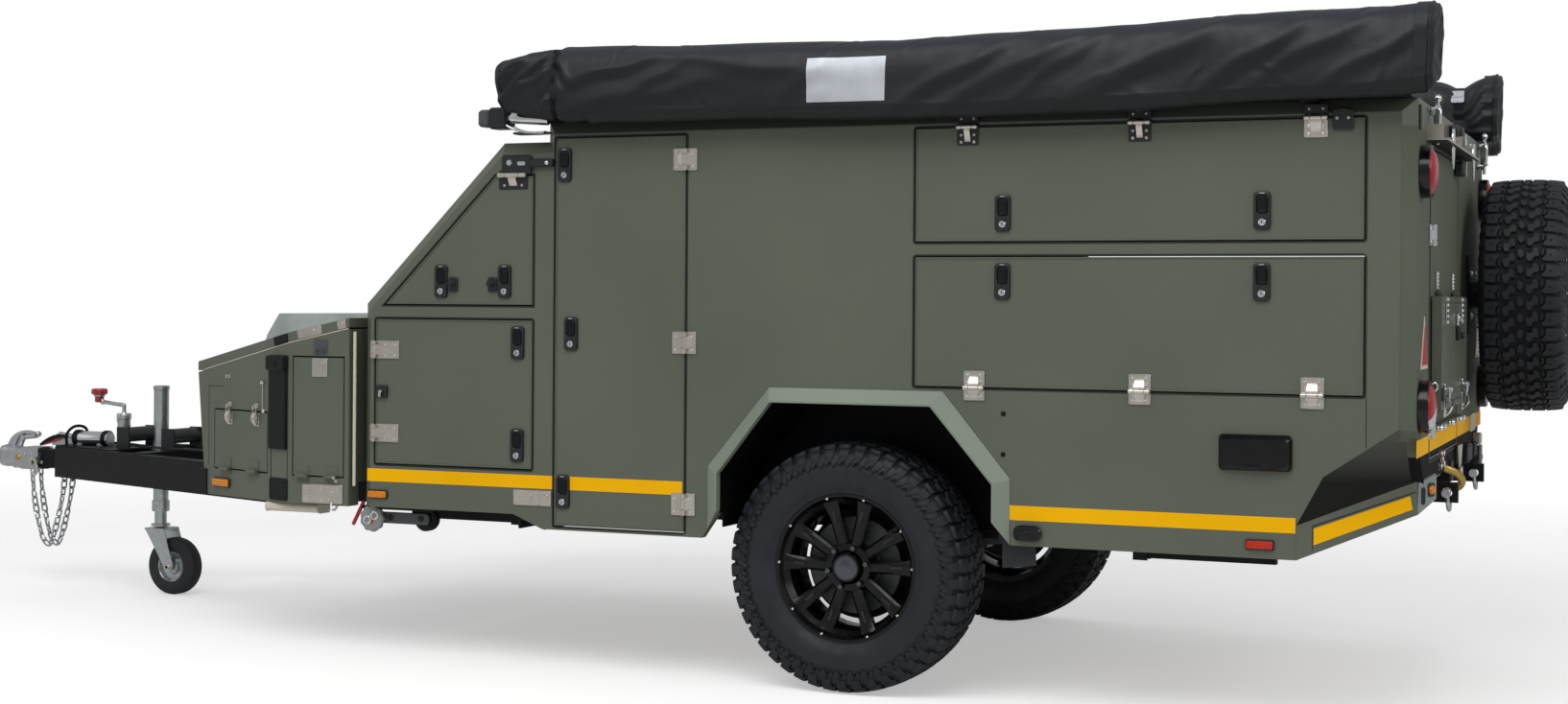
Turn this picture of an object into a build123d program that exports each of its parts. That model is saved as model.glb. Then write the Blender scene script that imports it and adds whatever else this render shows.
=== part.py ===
from build123d import *
import math
import os

# Off-road caravan: a single-axle trailer with a hollow panelled body, a nose
# box over an A-frame drawbar, and a jockey wheel that holds its nose up.
# Millimetres. X runs from nose to tail, Y from left to right, Z up from the
# ground. Sizes below count X from the front face of the body; everything is
# moved by FRAME_SHIFT at the end, so that the part is centred over its base.

# ---------------------------------------------------------------- body
BODY_LENGTH = 3415.0
HALF_WIDTH = 1000.0
WALL = 30.0
CORNER_SHEET = WALL - 5.0                          # the facets under the rear corners
BEVEL = 40.0               # bevel all round each side panel
ROOF_Z = 1780.0
FRONT_TOP_Z = 1718.0       # lower deck ahead of the roof step
ROOF_STEP_X = 696.0
SLOPE_FOOT_Z = 1190.0      # where the upright front turns into the slope
FRONT_BOTTOM_Z = 510.0
DOOR_BOTTOM_Z = 466.0
REAR_BOTTOM_Z = 493.0
REAR_WALL_BOTTOM_Z = 700.0
ROOF_JOINT_Z = 1700.0      # below it the roof panel ends
FLOOR_Z = 585.0
FLOOR_THICK = 25.0
GAP = 5.0                  # running gap round doors and hatches

# ---------------------------------------------------------------- side openings
ENTRY_DOOR = (740.0, 1207.0, 478.0, 1728.0)        # x0, x1, z0, z1
FRONT_HATCH = (60.0, 660.0, 655.0, 1141.0)
UPPER_HATCH = (1965.0, 3280.0, 1386.0, 1728.0)
LOWER_HATCH = (1965.0, 3280.0, 954.0, 1344.0)
WINDOW_HATCH_FOOT = (94.0, 1187.0)                 # front lower corner
WINDOW_HATCH_HEAD = (660.0, 1610.0)                # rear upper corner

# ---------------------------------------------------------------- wheels
AXLE_X = 1720.0
TYRE_R = 388.0
TYRE_WIDTH = 265.0
TYRE_INSET = 45.0          # tyre's outer face inside the body side
RIM_R = 216.0              # bead seat
RIM_LIP_R = 233.0
HUB_PILOT_R = 55.0
STUB_R = 20.0
STUB_FIT = 0.1
AXLE_TUBE = 60.0
SPRING_Y = 560.0
SPRING_WIDTH = 60.0
SPRING_HALF_SPAN = 440.0
DRUM_R = 150.0

# ---------------------------------------------------------------- wheel arches
ARCH_FRONT_X = 1329.0
ARCH_REAR_X = 2218.0
ARCH_TOP_FRONT_X = 1505.0
ARCH_TOP_REAR_X = 2025.0
ARCH_SHOULDER_Z = 671.0
ARCH_TOP_Z = 896.0
ARCH_SHEET = 6.0
ARCH_INNER_Y = 640.0
FLARE_WIDTH = 47.0
FLARE_PROUD = 28.0

# ---------------------------------------------------------------- frame
RAIL_Y = 590.0             # inner face of each main rail
RAIL_WIDTH = 50.0
RAIL_DEPTH = 100.0
DRAWBAR_DEPTH = 125.0
DRAWBAR_ANGLE = 20.0
DRAWBAR_NOSE_X = -2130.0
DRAWBAR_NOSE_Y = 42.0
FRAME_REAR_X = 3060.0
TOW_TUBE = 76.0
COUPLING_TIP_X = -2470.0
COUPLING_REAR_X = -2240.0
COUPLING_Z = 530.0

# ---------------------------------------------------------------- jockey wheel
JOCKEY_X = -1640.0
JOCKEY_TUBE_R = 30.0
JOCKEY_LEG_R = 24.0
JOCKEY_FIT = 0.1
JOCKEY_TOP_Z = 842.0
JOCKEY_SLEEVE_Z = 335.0
JOCKEY_WHEEL_R = 115.0
JOCKEY_WHEEL_WIDTH = 70.0
JOCKEY_TRAIL = 75.0

# ---------------------------------------------------------------- nose box
NOSE_REAR_X = -46.0
NOSE_BEND_X = -290.0
NOSE_FRONT_X = -780.0
NOSE_FRONT_LEAN = 40.0     # the front face leans forward this much at its top
NOSE_WALL = 20.0
NOSE_FLOOR_Z = 585.0
NOSE_SKIRT_Z = 507.0
NOSE_LID_REAR_Z = 1103.0   # lid seam at the rear edge
NOSE_LID_SLOPE = 0.2117
NOSE_LID_GAP = 6.0
NOSE_LID_THICK = 32.0
COWL_TOP_Z = 1152.0
COWL_HALF_WIDTH = 700.0
COWL_FRONT_X = -620.0

# ---------------------------------------------------------------- rear
REAR_DOOR = (-665.0, 120.0, 760.0, 1660.0)         # y0, y1, z0, z1
REAR_FLAP = (-645.0, 95.0, 903.0, 1243.0)
FLAP_THICK = 24.0
FLAP_GAP = 5.0
SPARE_Y = 550.0
SPARE_Z = 1245.0
SPARE_PROUD = 320.0                                # spare wheel face behind the body
SPARE_FACE_X = BODY_LENGTH + SPARE_PROUD
LAMP_R = 74.0
LAMP_Y = 880.0
LAMP_DEPTH = 24.0

# ---------------------------------------------------------------- awning bags
BAG_FRONT_X = 578.0
BAG_REAR_X = BODY_LENGTH + 57.0
BAG_OUT_Y = HALF_WIDTH + 122.0
BAG_IN_Y = HALF_WIDTH - 115.0
BAG_TOP_Z = 2006.0
BAG_REST_Z = 1796.0
BAG_LIP_Z = 1760.0

# ---------------------------------------------------------------- hinges
PIN_HEIGHT = 12.0
KNUCKLE_R = 7.0
PIN_R = 3.0
PIN_FIT = 0.1
LEAF_THICK = 3.0

FRAME_SHIFT = -(COUPLING_TIP_X + SPARE_FACE_X) / 2

nodes = {}


def box(x0, x1, y0, y1, z0, z1):
    """A block between two corners."""
    centre = Pos((x0 + x1) / 2, (y0 + y1) / 2, (z0 + z1) / 2)
    return centre * Box(x1 - x0, y1 - y0, z1 - z0)


def prism(points, direction):
    """A flat outline of 3-D points swept along a vector."""
    face = make_face(Polyline(*points, close=True))
    length = Vector(*direction).length
    return extrude(face, amount=length, dir=direction)


def side_prism(outline, y0, y1):
    """An outline in X and Z swept from y0 to y1."""
    return prism([(x, y0, z) for x, z in outline], (0, y1 - y0, 0))


def rod(start, end, radius):
    """A round bar between two points."""
    start, end = Vector(*start), Vector(*end)
    along = end - start
    plane = Plane(origin=start, z_dir=along)
    return extrude(plane * Circle(radius), amount=along.length)


def ring(centre, axis, outer, inner, length):
    """A tube whose bore runs along axis, centred on a point."""
    axis = Vector(*axis).normalized()
    base = Plane(origin=Vector(*centre) - axis * (length / 2), z_dir=axis)
    return extrude(base * (Circle(outer) - Circle(inner)), amount=length)


def disc(centre, axis, radius, length):
    """A round plate centred on a point."""
    axis = Vector(*axis).normalized()
    base = Plane(origin=Vector(*centre) - axis * (length / 2), z_dir=axis)
    return extrude(base * Circle(radius), amount=length)


def mirrored(shape):
    """The same shape on the right-hand side."""
    return mirror(shape, about=Plane.XZ)


def both_sides(shape):
    return shape + mirrored(shape)


def group(*shapes):
    """Several solids that share a node without being joined."""
    solids = []
    for shape in shapes:
        solids.extend(shape.solids())
    return Compound(children=solids)


# ---------------------------------------------------------------- hinges

def hinge(origin, axis, outward, length, door_leaf, body_leaf, lift=0.0):
    """One butt hinge on a surface: its fixed half and its moving half.

    The pin runs along axis, PIN_HEIGHT outside the surface. The fixed leaf
    lies on the far side of outward x axis, the moving leaf opposite to it.
    lift raises the moving leaf for a panel that stands off the surface.
    """
    place = Plane(origin=origin, x_dir=axis, z_dir=outward)
    half = length / 2
    split_at = length / 4
    clear = 0.5
    web = KNUCKLE_R + 1
    tube = ring((0, 0, PIN_HEIGHT), (1, 0, 0), KNUCKLE_R, PIN_R, split_at)
    fixed = disc((0, 0, PIN_HEIGHT), (1, 0, 0), PIN_R, length)
    for side in (-1, 1):
        middle = side * (half - split_at / 2)
        fixed += Pos(middle, 0, 0) * tube
        fixed += box(middle - split_at / 2, middle + split_at / 2, GAP / 2, web, 0, PIN_HEIGHT)
    fixed += box(-half, half, GAP / 2, body_leaf, 0, LEAF_THICK)
    middle_length = length - 2 * split_at - 2 * clear
    moving = ring((0, 0, PIN_HEIGHT), (1, 0, 0), KNUCKLE_R, PIN_R + PIN_FIT, middle_length)
    strap = box(-middle_length / 2, middle_length / 2, -web, -PIN_R - 1, lift, PIN_HEIGHT)
    moving += strap - disc((0, 0, PIN_HEIGHT), (1, 0, 0), PIN_R + PIN_FIT, length)
    moving += box(-half, half, -door_leaf, -GAP / 2 - clear, lift, lift + LEAF_THICK)
    moving -= disc((0, 0, PIN_HEIGHT), (1, 0, 0), PIN_R + PIN_FIT, length)
    clearance = KNUCKLE_R + clear
    for side in (-1, 1):
        middle = side * (half - split_at / 2)
        moving -= disc((middle, 0, PIN_HEIGHT), (1, 0, 0), clearance, split_at + 2 * clear)
    return place.location * fixed, place.location * moving


LEFT = (0, -1, 0)
UP, DOWN = (0, 0, 1), (0, 0, -1)
REARWARD, FORWARD = (1, 0, 0), (-1, 0, 0)


def inner_box(opening):
    """A panel that fills an opening, less its running gap, on the left side."""
    x0, x1, z0, z1 = opening
    return box(x0 + GAP / 2, x1 - GAP / 2, -HALF_WIDTH, -HALF_WIDTH + WALL, z0 + GAP / 2, z1 - GAP / 2)


def cut_box(opening):
    """The hole for that panel."""
    x0, x1, z0, z1 = opening
    half = GAP / 2
    return box(x0 - half, x1 + half, -HALF_WIDTH - 1, -HALF_WIDTH + WALL + 1, z0 - half, z1 + half)


def window_outline(grow):
    """The sloping hatch, its edge parallel to the sloping body front."""
    x0, z0 = WINDOW_HATCH_FOOT
    x1, z1 = WINDOW_HATCH_HEAD
    rise = z1 - z0
    diagonal = grow * math.tan(math.radians(22.5))
    steep = grow * (1 + math.sqrt(2))
    return [
        (x0 - steep, z0 - grow),
        (x0 + rise - diagonal, z1 + grow),
        (x1 + grow, z1 + grow),
        (x1 + grow, z0 - grow),
    ]


# ---------------------------------------------------------------- body shell

def wrap_outline(inset):
    """Front, slope, roof and rear in X and Z, moved inwards by inset."""
    slope_shift = inset * math.tan(math.radians(22.5))
    slope_run = FRONT_TOP_Z - SLOPE_FOOT_Z
    return [
        (inset, FRONT_BOTTOM_Z),
        (inset, SLOPE_FOOT_Z - slope_shift),
        (slope_run + slope_shift, FRONT_TOP_Z - inset),
        (ROOF_STEP_X + inset, FRONT_TOP_Z - inset),
        (ROOF_STEP_X + inset, ROOF_Z - inset),
        (BODY_LENGTH - inset, ROOF_Z - inset),
        (BODY_LENGTH - inset, FRONT_BOTTOM_Z),
    ]


def bevelled_block(inset, half_width, bevel):
    """The wrap outline as a block whose side edges are bevelled."""
    edge = half_width - bevel
    block = side_prism(wrap_outline(inset), -edge, edge)
    wide = make_face(Polyline(*[(x, -edge, z) for x, z in wrap_outline(inset)], close=True))
    narrow = make_face(
        Polyline(*[(x, -half_width, z) for x, z in wrap_outline(inset + bevel)], close=True))
    flank = loft([wide, narrow], ruled=True)
    return block + flank + mirrored(flank)


def arch_outline(grow, bottom):
    """The wheel opening, widened by grow."""
    slant = grow * 0.4
    return [
        (ARCH_FRONT_X - grow, bottom),
        (ARCH_FRONT_X - grow, ARCH_SHOULDER_Z + slant),
        (ARCH_TOP_FRONT_X - slant, ARCH_TOP_Z + grow),
        (ARCH_TOP_REAR_X + slant, ARCH_TOP_Z + grow),
        (ARCH_REAR_X + grow, ARCH_SHOULDER_Z + slant),
        (ARCH_REAR_X + grow, bottom),
    ]


# lower rear corner: the side is cut along two facets down to a tapered skirt
CUT_FOOT = (3098.0, -HALF_WIDTH, 590.0)
CUT_KNEE = (3171.0, -HALF_WIDTH, 728.0)
CUT_HEAD = (BODY_LENGTH - BEVEL, -HALF_WIDTH, 866.0)
SKIRT_REAR = (BODY_LENGTH - 15.0, -795.0, 710.0)
SKIRT_HEIGHT = 95.0
CUT_PLANE = Plane(
    origin=CUT_KNEE,
    z_dir=(Vector(*CUT_HEAD) - Vector(*CUT_KNEE)).cross(Vector(*SKIRT_REAR) - Vector(*CUT_KNEE)))


def side_panel(entry=True):
    """The left side; without entry it is the wall that faces the door."""
    outline = [
        (BEVEL, FRONT_BOTTOM_Z),
        (590, FRONT_BOTTOM_Z),
        (698, DOOR_BOTTOM_Z),
        (1267, DOOR_BOTTOM_Z),
        (ARCH_FRONT_X - ARCH_SHEET, 547),
        (ARCH_REAR_X + ARCH_SHEET, 555),
        (2270, REAR_BOTTOM_Z),
        (CUT_FOOT[0], REAR_BOTTOM_Z),
        (CUT_FOOT[0], CUT_FOOT[2]),
        (CUT_KNEE[0], CUT_KNEE[2]),
        (CUT_HEAD[0], CUT_HEAD[2]),
    ] + [point for point in reversed(wrap_outline(BEVEL)[1:6])]
    panel = side_prism(outline, -HALF_WIDTH, -HALF_WIDTH + WALL)
    panel -= side_prism(arch_outline(ARCH_SHEET, 400), -HALF_WIDTH - 1, -HALF_WIDTH + WALL + 1)
    for opening in (FRONT_HATCH, UPPER_HATCH, LOWER_HATCH) + ((ENTRY_DOOR,) if entry else ()):
        panel -= cut_box(opening)
    panel -= side_prism(window_outline(GAP / 2), -HALF_WIDTH - 1, -HALF_WIDTH + WALL + 1)
    return panel


def inner_bevel_width():
    return BEVEL - WALL * (2 - math.sqrt(2))


def body_wrap():
    """Front wall, roof and rear wall, before they are parted."""
    inner_bevel = inner_bevel_width()
    wrap = bevelled_block(0, HALF_WIDTH, BEVEL)
    wrap -= bevelled_block(WALL, HALF_WIDTH - WALL, inner_bevel)
    slab = side_prism(wrap_outline(BEVEL), -HALF_WIDTH - 1, -HALF_WIDTH + WALL)
    wrap -= both_sides(slab)
    return wrap


def body_panels():
    wrap = body_wrap()
    wide = HALF_WIDTH + 10
    deck_end = box(-10, ROOF_STEP_X, -wide, wide, 0, ROOF_Z + 10)
    under_step = box(-10, ROOF_STEP_X + 100, -wide, wide, 0, ROOF_JOINT_Z)
    front = wrap & (deck_end + under_step)
    outer_rail = RAIL_Y + RAIL_WIDTH
    front -= box(-1, WALL + 1, -outer_rail, outer_rail, 0, FLOOR_Z)
    roof = wrap & box(ROOF_STEP_X, BODY_LENGTH + 10, -wide, wide, ROOF_JOINT_Z, ROOF_Z + 10)
    rear = wrap & box(BODY_LENGTH - 500, BODY_LENGTH + 10, -wide, wide, REAR_WALL_BOTTOM_Z, ROOF_JOINT_Z)
    rear = split(rear, bisect_by=CUT_PLANE, keep=Keep.TOP)
    rear = mirrored(split(mirrored(rear), bisect_by=CUT_PLANE, keep=Keep.TOP))
    y0, y1, z0, z1 = REAR_DOOR
    half = GAP / 2
    rear -= box(BODY_LENGTH - 100, BODY_LENGTH + 1, y0 - half, y1 + half, z0 - half, z1 + half)
    return front, roof, rear


def rear_quarter():
    """The facets and the tapered skirt at the left rear corner."""
    foot, knee, head = Vector(*CUT_FOOT), Vector(*CUT_KNEE), Vector(*CUT_HEAD)
    tail = Vector(*SKIRT_REAR)
    slope = CUT_PLANE.z_dir
    rear_x = BODY_LENGTH - WALL

    def on_cut(x, y):
        return knee.Z - (slope.X * (x - knee.X) + slope.Y * (y - knee.Y)) / slope.Z

    along = Vector(tail.X - foot.X, tail.Y - foot.Y, 0).normalized()
    inward = tuple(Vector(-along.Y, along.X, 0) * CORNER_SHEET)
    low = prism([tuple(foot), tuple(knee), tuple(tail)], inward)
    edge_y = -HALF_WIDTH + BEVEL - WALL
    share = (rear_x - knee.X) / (tail.X - knee.X)
    low_y = knee.Y + (tail.Y - knee.Y) * share
    high = prism([tuple(knee), tuple(head), (rear_x, edge_y, on_cut(rear_x, edge_y)),
                  (rear_x, low_y, on_cut(rear_x, low_y))], inward)
    skirt = prism([
        (foot.X, foot.Y, REAR_BOTTOM_Z), tuple(foot), tuple(tail),
        (tail.X, tail.Y, tail.Z - SKIRT_HEIGHT)], inward)
    cap = box(tail.X - 22, tail.X, tail.Y + 14, tail.Y + 105, tail.Z - SKIRT_HEIGHT, tail.Z - 8)
    return low + high + skirt + cap


def floor_panel():
    """The floor, which rises behind the chassis."""
    lift = REAR_WALL_BOTTOM_Z + 10
    outline = [
        (WALL, FLOOR_Z), (CUT_FOOT[0], FLOOR_Z), (BODY_LENGTH - WALL, lift),
        (BODY_LENGTH - WALL, lift + FLOOR_THICK), (CUT_FOOT[0], FLOOR_Z + FLOOR_THICK),
        (WALL, FLOOR_Z + FLOOR_THICK)]
    half = HALF_WIDTH - WALL
    panel = side_prism(outline, -half, half)
    well = box(ARCH_FRONT_X - ARCH_SHEET, ARCH_REAR_X + ARCH_SHEET,
               -half - 1, -ARCH_INNER_Y, FLOOR_Z - 50, FLOOR_Z + 80)
    panel -= both_sides(well)
    trim = box(CUT_FOOT[0] - 5, BODY_LENGTH, -half - 1, SKIRT_REAR[1] + 60, FLOOR_Z - 5, 800)
    panel -= both_sides(trim)
    return panel & bevelled_block(WALL, half, inner_bevel_width())


def wheel_arch():
    """Wheel well and outer flare on the left, one bent sheet."""
    outer_y = -HALF_WIDTH - FLARE_PROUD
    bottom = 500.0
    well = side_prism(arch_outline(ARCH_SHEET, bottom), -HALF_WIDTH, -ARCH_INNER_Y)
    well -= side_prism(arch_outline(0, bottom - 1), -HALF_WIDTH - 1, -ARCH_INNER_Y - ARCH_SHEET)
    under = [(ARCH_FRONT_X - 100, bottom - 20), (ARCH_FRONT_X - 100, bottom + 10),
             (ARCH_FRONT_X - ARCH_SHEET, 547), (ARCH_REAR_X + ARCH_SHEET, 555),
             (2275, 487), (2275, bottom - 20)]
    well -= side_prism(under, -HALF_WIDTH - 1, -HALF_WIDTH + WALL + 1)
    wide = FLARE_WIDTH
    base = [
        (ARCH_FRONT_X - wide + 3, 492), (ARCH_FRONT_X - wide + 3, ARCH_SHOULDER_Z + 20),
        (ARCH_TOP_FRONT_X - 12, ARCH_TOP_Z + wide), (ARCH_TOP_REAR_X + 32, ARCH_TOP_Z + wide),
        (ARCH_REAR_X + wide + 3, ARCH_SHOULDER_Z + 18), (ARCH_REAR_X + wide + 3, REAR_BOTTOM_Z),
        (ARCH_REAR_X, 562), (ARCH_REAR_X, ARCH_SHOULDER_Z), (ARCH_TOP_REAR_X, ARCH_TOP_Z),
        (ARCH_TOP_FRONT_X, ARCH_TOP_Z), (ARCH_FRONT_X, ARCH_SHOULDER_Z), (ARCH_FRONT_X, 555)]
    lip = 6.0
    crest = [
        (ARCH_FRONT_X - lip, 546), (ARCH_FRONT_X - lip, ARCH_SHOULDER_Z + 2),
        (ARCH_TOP_FRONT_X - 3, ARCH_TOP_Z + lip), (ARCH_TOP_REAR_X + 3, ARCH_TOP_Z + lip),
        (ARCH_REAR_X + lip, ARCH_SHOULDER_Z + 2), (ARCH_REAR_X + lip, 554)] + base[6:]
    foot_face = make_face(Polyline(*[(x, -HALF_WIDTH, z) for x, z in base], close=True))
    crest_face = make_face(Polyline(*[(x, outer_y, z) for x, z in crest], close=True))
    flare = loft([foot_face, crest_face], ruled=True)
    return well + flare


# ---------------------------------------------------------------- doors and hatches

def hung(panel, hinges):
    """A panel with its moving hinge halves, and the fixed halves."""
    fixed = []
    for still, moving in hinges:
        panel += moving
        fixed.append(still)
    return panel, fixed


def side_doors():
    """Every panel that opens in the left side, and their fixed hinge halves."""
    y = -HALF_WIDTH
    fixed = []
    panels = {}
    x0, x1, z0, z1 = ENTRY_DOOR
    hinges = [hinge((x1, y, z), DOWN, LEFT, 68, 44, 36) for z in (z0 + 90, 1075, z1 - 78)]
    panels["entry_door"], still = hung(inner_box(ENTRY_DOOR), hinges)
    fixed += still
    x0, x1, z0, z1 = FRONT_HATCH
    hinges = [hinge((x0, y, z), UP, LEFT, 58, 92, 18) for z in (z0 + 104, z1 - 104)]
    panels["front_hatch"], still = hung(inner_box(FRONT_HATCH), hinges)
    fixed += still
    outline = window_outline(-GAP / 2)
    window = side_prism(outline, y, y + WALL)
    middle = WINDOW_HATCH_HEAD[0] - 75
    hinges = [hinge((middle, y, WINDOW_HATCH_HEAD[1]), REARWARD, LEFT, 104, 44, 16)]
    panels["window_hatch"], still = hung(window, hinges)
    fixed += still
    x0, x1, z0, z1 = UPPER_HATCH
    places = (x0 + 165, (x0 + x1) / 2 + 25, x1 - 135)
    hinges = [hinge((x, y, z1), REARWARD, LEFT, 64, 54, 9) for x in places]
    panels["upper_hatch"], still = hung(inner_box(UPPER_HATCH), hinges)
    fixed += still
    x0, x1, z0, z1 = LOWER_HATCH
    places = (x0 + 190, (x0 + x1) / 2 + 30, x1 - 140)
    hinges = [hinge((x, y, z0), FORWARD, LEFT, 62, 50, 36) for x in places]
    panels["lower_hatch"], still = hung(inner_box(LOWER_HATCH), hinges)
    fixed += still
    return panels, fixed


# ---------------------------------------------------------------- nose box

NOSE_ANGLE = math.radians(DRAWBAR_ANGLE)


def nose_plan(inset):
    """Half outline in X and Y, left side, from the rear to the front."""
    bend = inset * math.tan(NOSE_ANGLE / 2)
    edge = HALF_WIDTH - inset
    front_x = NOSE_FRONT_X - NOSE_FRONT_LEAN + inset
    corner_y = edge - (NOSE_BEND_X + bend - front_x) * math.tan(NOSE_ANGLE)
    return [
        (NOSE_REAR_X - inset, -edge), (NOSE_BEND_X + bend, -edge), (front_x, -corner_y),
        (front_x, corner_y), (NOSE_BEND_X + bend, edge), (NOSE_REAR_X - inset, edge)]


def nose_block(inset, bottom, top):
    points = [(x, y, bottom) for x, y in nose_plan(inset)]
    return prism(points, (0, 0, top - bottom))


def lid_height(x):
    return NOSE_LID_REAR_Z + (x - NOSE_REAR_X) * NOSE_LID_SLOPE


def under_lid(offset):
    """Everything below the lid plane, raised by offset."""
    far_x = NOSE_FRONT_X - 200
    outline = [(far_x, 300), (far_x, lid_height(far_x) + offset),
               (100, lid_height(100) + offset), (100, 300)]
    return side_prism(outline, -HALF_WIDTH - 50, HALF_WIDTH + 50)


def behind_front(inset):
    """Everything behind the leaning front face."""
    low_x = NOSE_FRONT_X + inset
    top_x = NOSE_FRONT_X - NOSE_FRONT_LEAN + inset
    outline = [(low_x, NOSE_FLOOR_Z), (top_x, lid_height(NOSE_FRONT_X)), (top_x - 40, 1300),
               (200, 1300), (200, 300), (low_x, 300)]
    return side_prism(outline, -HALF_WIDTH - 50, HALF_WIDTH + 50)


ANGLED_START = Vector(NOSE_BEND_X, -HALF_WIDTH, 0)
ANGLED_ALONG = Vector(-math.cos(NOSE_ANGLE), math.sin(NOSE_ANGLE), 0)
ANGLED_OUT = Vector(-math.sin(NOSE_ANGLE), -math.cos(NOSE_ANGLE), 0)
NOSE_SIDE_DOOR = (125.0, 455.0, 603.0, 812.0)      # from the bend forwards, z0, z1
NOSE_REAR_DOOR = (-272.0, -66.0, 603.0, 1008.0)    # x0, x1, z0, z1


def angled_panel(s0, s1, z0, z1, depth):
    """A block let into the angled side, between two distances from the bend."""
    start = ANGLED_START + ANGLED_ALONG * s0
    end = ANGLED_START + ANGLED_ALONG * s1
    outside = ANGLED_OUT * (1 if depth > NOSE_WALL else 0)
    start, end = start + outside, end + outside
    points = [(start.X, start.Y, z0), (end.X, end.Y, z0), (end.X, end.Y, z1), (start.X, start.Y, z1)]
    return prism(points, tuple(ANGLED_OUT * -depth))


def nose_box():
    """The open-topped box and its skirt, with holes for its side doors."""
    shell = nose_block(0, NOSE_FLOOR_Z, 1250) & under_lid(0) & behind_front(0)
    hollow = nose_block(NOSE_WALL, NOSE_FLOOR_Z + NOSE_WALL, 1300) & behind_front(NOSE_WALL)
    shell -= hollow
    skirt = nose_block(0, NOSE_SKIRT_Z, NOSE_FLOOR_Z) - nose_block(NOSE_WALL, NOSE_SKIRT_Z - 1, NOSE_FLOOR_Z)
    skirt &= box(NOSE_FRONT_X, 0, -HALF_WIDTH - 1, HALF_WIDTH + 1, 400, 700)
    skirt -= box(NOSE_REAR_X - NOSE_WALL - 1, 0, -HALF_WIDTH + 60, HALF_WIDTH - 60, 400, NOSE_FLOOR_Z)
    shell += skirt
    half = GAP / 2
    s0, s1, z0, z1 = NOSE_SIDE_DOOR
    hole = angled_panel(s0 - half, s1 + half, z0 - half, z1 + half, NOSE_WALL + 2)
    x0, x1, low, high = NOSE_REAR_DOOR
    hole += box(x0 - half, x1 + half, -HALF_WIDTH - 1, -HALF_WIDTH + NOSE_WALL + 1, low - half, high + half)
    return shell - both_sides(hole)


def nose_lid():
    """The sloping lid with its raised cowl."""
    top = NOSE_LID_GAP + NOSE_LID_THICK
    slab = nose_block(0, 700, 1300) & under_lid(top)
    slab -= under_lid(NOSE_LID_GAP)
    lean = box(NOSE_FRONT_X - NOSE_FRONT_LEAN, 0, -HALF_WIDTH, HALF_WIDTH, 700, 1300)
    slab &= lean
    seat = lid_height(COWL_FRONT_X) + top
    outline = [
        (COWL_FRONT_X, seat - 3), (COWL_FRONT_X + 18, seat + 55), (COWL_FRONT_X + 70, COWL_TOP_Z),
        (NOSE_REAR_X - 35, COWL_TOP_Z), (NOSE_REAR_X - 35, lid_height(NOSE_REAR_X - 35) + top - 3)]
    cowl = side_prism(outline, -COWL_HALF_WIDTH, COWL_HALF_WIDTH)
    return slab, cowl - under_lid(top)


# ---------------------------------------------------------------- wheels

RIM_HALF = TYRE_WIDTH / 2 - 22


def turned_about(profile, centre, axis):
    """A profile in X and Y turned about Y, with Y then set along axis."""
    axis = Vector(*axis)
    place = Plane(origin=centre, x_dir=(0, 0, 1), z_dir=Vector(0, 0, 1).cross(axis))
    return place.location * profile


def tyre(centre, axis):
    """A plain carcass; its tread is left to the finish."""
    half = TYRE_WIDTH / 2
    bead = RIM_HALF - 12
    seat = RIM_R + 2
    profile = Polyline(
        (seat, -bead), (RIM_LIP_R, -bead - 5), (RIM_LIP_R + 4, -bead - 12), (RIM_LIP_R + 20, -half + 8),
        (TYRE_R - 95, -half), (TYRE_R - 34, -half + 6), (TYRE_R - 8, -half + 30), (TYRE_R, -half + 62),
        (TYRE_R, half - 62), (TYRE_R - 8, half - 30), (TYRE_R - 34, half - 6), (TYRE_R - 95, half),
        (RIM_LIP_R + 20, half - 8), (RIM_LIP_R + 4, bead + 12), (RIM_LIP_R, bead + 5), (seat, bead),
        (seat, bead - 18), (RIM_R + 40, half - 40), (TYRE_R - 40, half - 28),
        (TYRE_R - 40, -half + 28), (RIM_R + 40, -half + 40), (seat, -bead + 18), close=True)
    return turned_about(revolve(make_face(profile), axis=Axis.Y), centre, axis)


def rim(centre, axis):
    """Barrel, lips and a ten-spoke dished face that turns towards axis."""
    half = RIM_HALF
    seat = RIM_R + 2
    profile = Polyline(
        (RIM_LIP_R, -half), (RIM_LIP_R, -half + 7), (seat, -half + 12), (seat, -70), (RIM_R - 22, -50),
        (RIM_R - 22, 30), (seat, 60), (seat, half - 12), (RIM_LIP_R, half - 7), (RIM_LIP_R, half),
        (RIM_R - 6, half), (RIM_R - 6, 64), (RIM_R - 30, 34), (RIM_R - 30, -54),
        (RIM_R - 6, -74), (RIM_R - 6, -half), close=True)
    barrel = revolve(make_face(profile), axis=Axis.Y)
    face_profile = Polyline(
        (HUB_PILOT_R - 20, 50), (88, 50), (RIM_R - 26, 84), (RIM_R - 4, 84), (RIM_R - 4, 62),
        (RIM_R - 26, 62), (88, 26), (HUB_PILOT_R - 20, 26), close=True)
    face = revolve(make_face(face_profile), axis=Axis.Y)
    for turn in range(10):
        window = Pos(RIM_R - 68, 55, 0) * Box(88, 120, 60)
        window = fillet(window.edges().filter_by(Axis.Y), 12)
        face -= Rot(0, 18 + 36 * turn, 0) * window
    cap = Pos(0, 50.5, 0) * Rot(90, 0, 0) * Cylinder(HUB_PILOT_R - 16, 49)
    return turned_about(barrel + face + cap, centre, axis)


def hub(centre, outward):
    """Brake drum with a bore for the stub axle, on the wheel's inner side."""
    x, y, z = centre
    drum = disc((x, y - outward * 30, z), (0, 1, 0), DRUM_R, 90)
    flange = disc((x, y + outward * 18.5, z), (0, 1, 0), 90, 15)
    bore = disc((x, y - outward * 30, z), (0, 1, 0), STUB_R + STUB_FIT, 92)
    return drum + flange - bore


# ---------------------------------------------------------------- running gear and frame

WHEEL_Y = HALF_WIDTH - TYRE_INSET - TYRE_WIDTH / 2


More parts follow.
